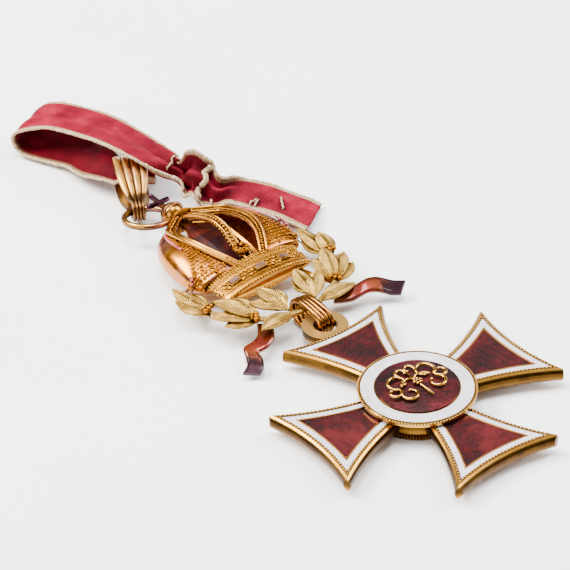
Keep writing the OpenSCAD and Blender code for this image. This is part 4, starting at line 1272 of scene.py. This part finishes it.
def stitches():
    """Loose pale stitches that lie on the cloth; the last ones hold the gather."""
    form = Form()
    t = np.linspace(0, 1, 9)
    for row, across, last_row, last_across in STITCHES:
        places = [on_cloth(row + (last_row - row) * k, across + (last_across - across) * k) for k in t]
        rise = np.array([out * np.sign(out[2]) for _, out in places])
        line = np.array([at for at, _ in places]) + rise * (0.42 + 0.25 * np.sin(np.pi * t))[:, None]
        form.sweep(line, wire(0.42 - 0.12 * abs(2 * t - 1) ** 3, 6), rise)
    return form


thread = cream_thread()
silk_ribbon = piece("silk_ribbon", ribbon(), ribbed_silk(), ["ribbon"])
cream_edging = piece("cream_edging", edging(), thread)
loose_stitches = piece("loose_stitches", stitches(), thread)


# Floor, light and camera


def floor():
    """Wide matt white board, faintly uneven in tone."""
    finish, place = new_finish("pale_board")
    cloud = add(finish, "TexNoise", {"Vector": place, "Scale": 0.02, "Detail": 2.0})
    colour = add(finish, "ValToRGB", [cloud], stops=((0.3, "#F4F3F1"), (0.7, "#F8F7F5")))
    mesh = bpy.data.meshes.new("floor")
    size = 3.0
    corners = [(-size, -size, 0), (size, -size, 0), (size, size, 0), (-size, size, 0)]
    mesh.from_pydata(corners, [], [(0, 1, 2, 3)])
    mesh.materials.append(close(finish, {"Base Color": colour, "Roughness": 0.7}))
    into_scene("floor", mesh)


def stand(obj, right, rise, back, at):
    """Puts an object at a place with its own x, y and z along three directions."""
    rows = np.stack([right, rise, back, at], axis=1)
    obj.matrix_world = Matrix([*rows, [0, 0, 0, 1]])


def soft_light(name, at, size, power, colour):
    """Soft box that faces the badge."""
    lamp = bpy.data.lights.new(name, "AREA")
    lamp.shape, lamp.size, lamp.size_y = "RECTANGLE", size[0], size[1]
    lamp.energy, lamp.color = power, colour
    back = unit(np.array(at) - [0.0, 0.05, 0.0])
    right = unit(np.cross([0.02, 0.01, 1], back))
    stand(into_scene(name, lamp), right, np.cross(back, right), back, at)


floor()
# each light's place in metres, its width and height, its power and its colour
soft_light("window_left", (-0.35, 0.45, 0.6), (0.5, 0.35), 20.0, (1.0, 0.98, 0.95))
soft_light("low_left", (-0.62, -0.12, 0.3), (0.35, 0.35), 2.5, (1.0, 0.98, 0.97))
soft_light("window_right", (0.6, -0.1, 0.55), (0.3, 0.5), 11.0, (0.97, 0.98, 1.0))
soft_light("top_panel", (0.0, 0.1, 0.8), (0.4, 0.4), 12.0, (1.0, 1.0, 1.0))

# the room: dim at the level of the table, bright overhead
world = bpy.data.worlds.new("studio")
bpy.context.scene.world = world
world.use_nodes = True
height = add(world, "SeparateXYZ", [add(world, "TexCoord", give="Generated")], "Z")
sky = add(world, "ValToRGB", [height], stops=((0.1, "#454546"), (0.85, "#F3F3F5")))
backdrop = world.node_tree.nodes["Background"].inputs
world.node_tree.links.new(sky, backdrop["Color"])
backdrop["Strength"].default_value = 0.75

camera = bpy.data.cameras.new("camera")
camera.sensor_width, camera.lens = 36.0, 159.1
camera.clip_start, camera.clip_end = 0.01, 10.0
# how far round the badge the camera stands, how far above its plane, and its roll, in degrees
AROUND, ABOVE, ROLL = -35.80, 35.65, -1.97
back, level = heading(AROUND - 90, ABOVE), heading(AROUND, 0)
c, s = np.cos(np.radians(ROLL)), np.sin(np.radians(ROLL))
rise = np.cross(back, level)
eye = into_scene("camera", camera)
stand(eye, c * level + s * rise, c * rise - s * level, back, (-0.2408, -0.292, 0.3012))
bpy.context.scene.camera = eye
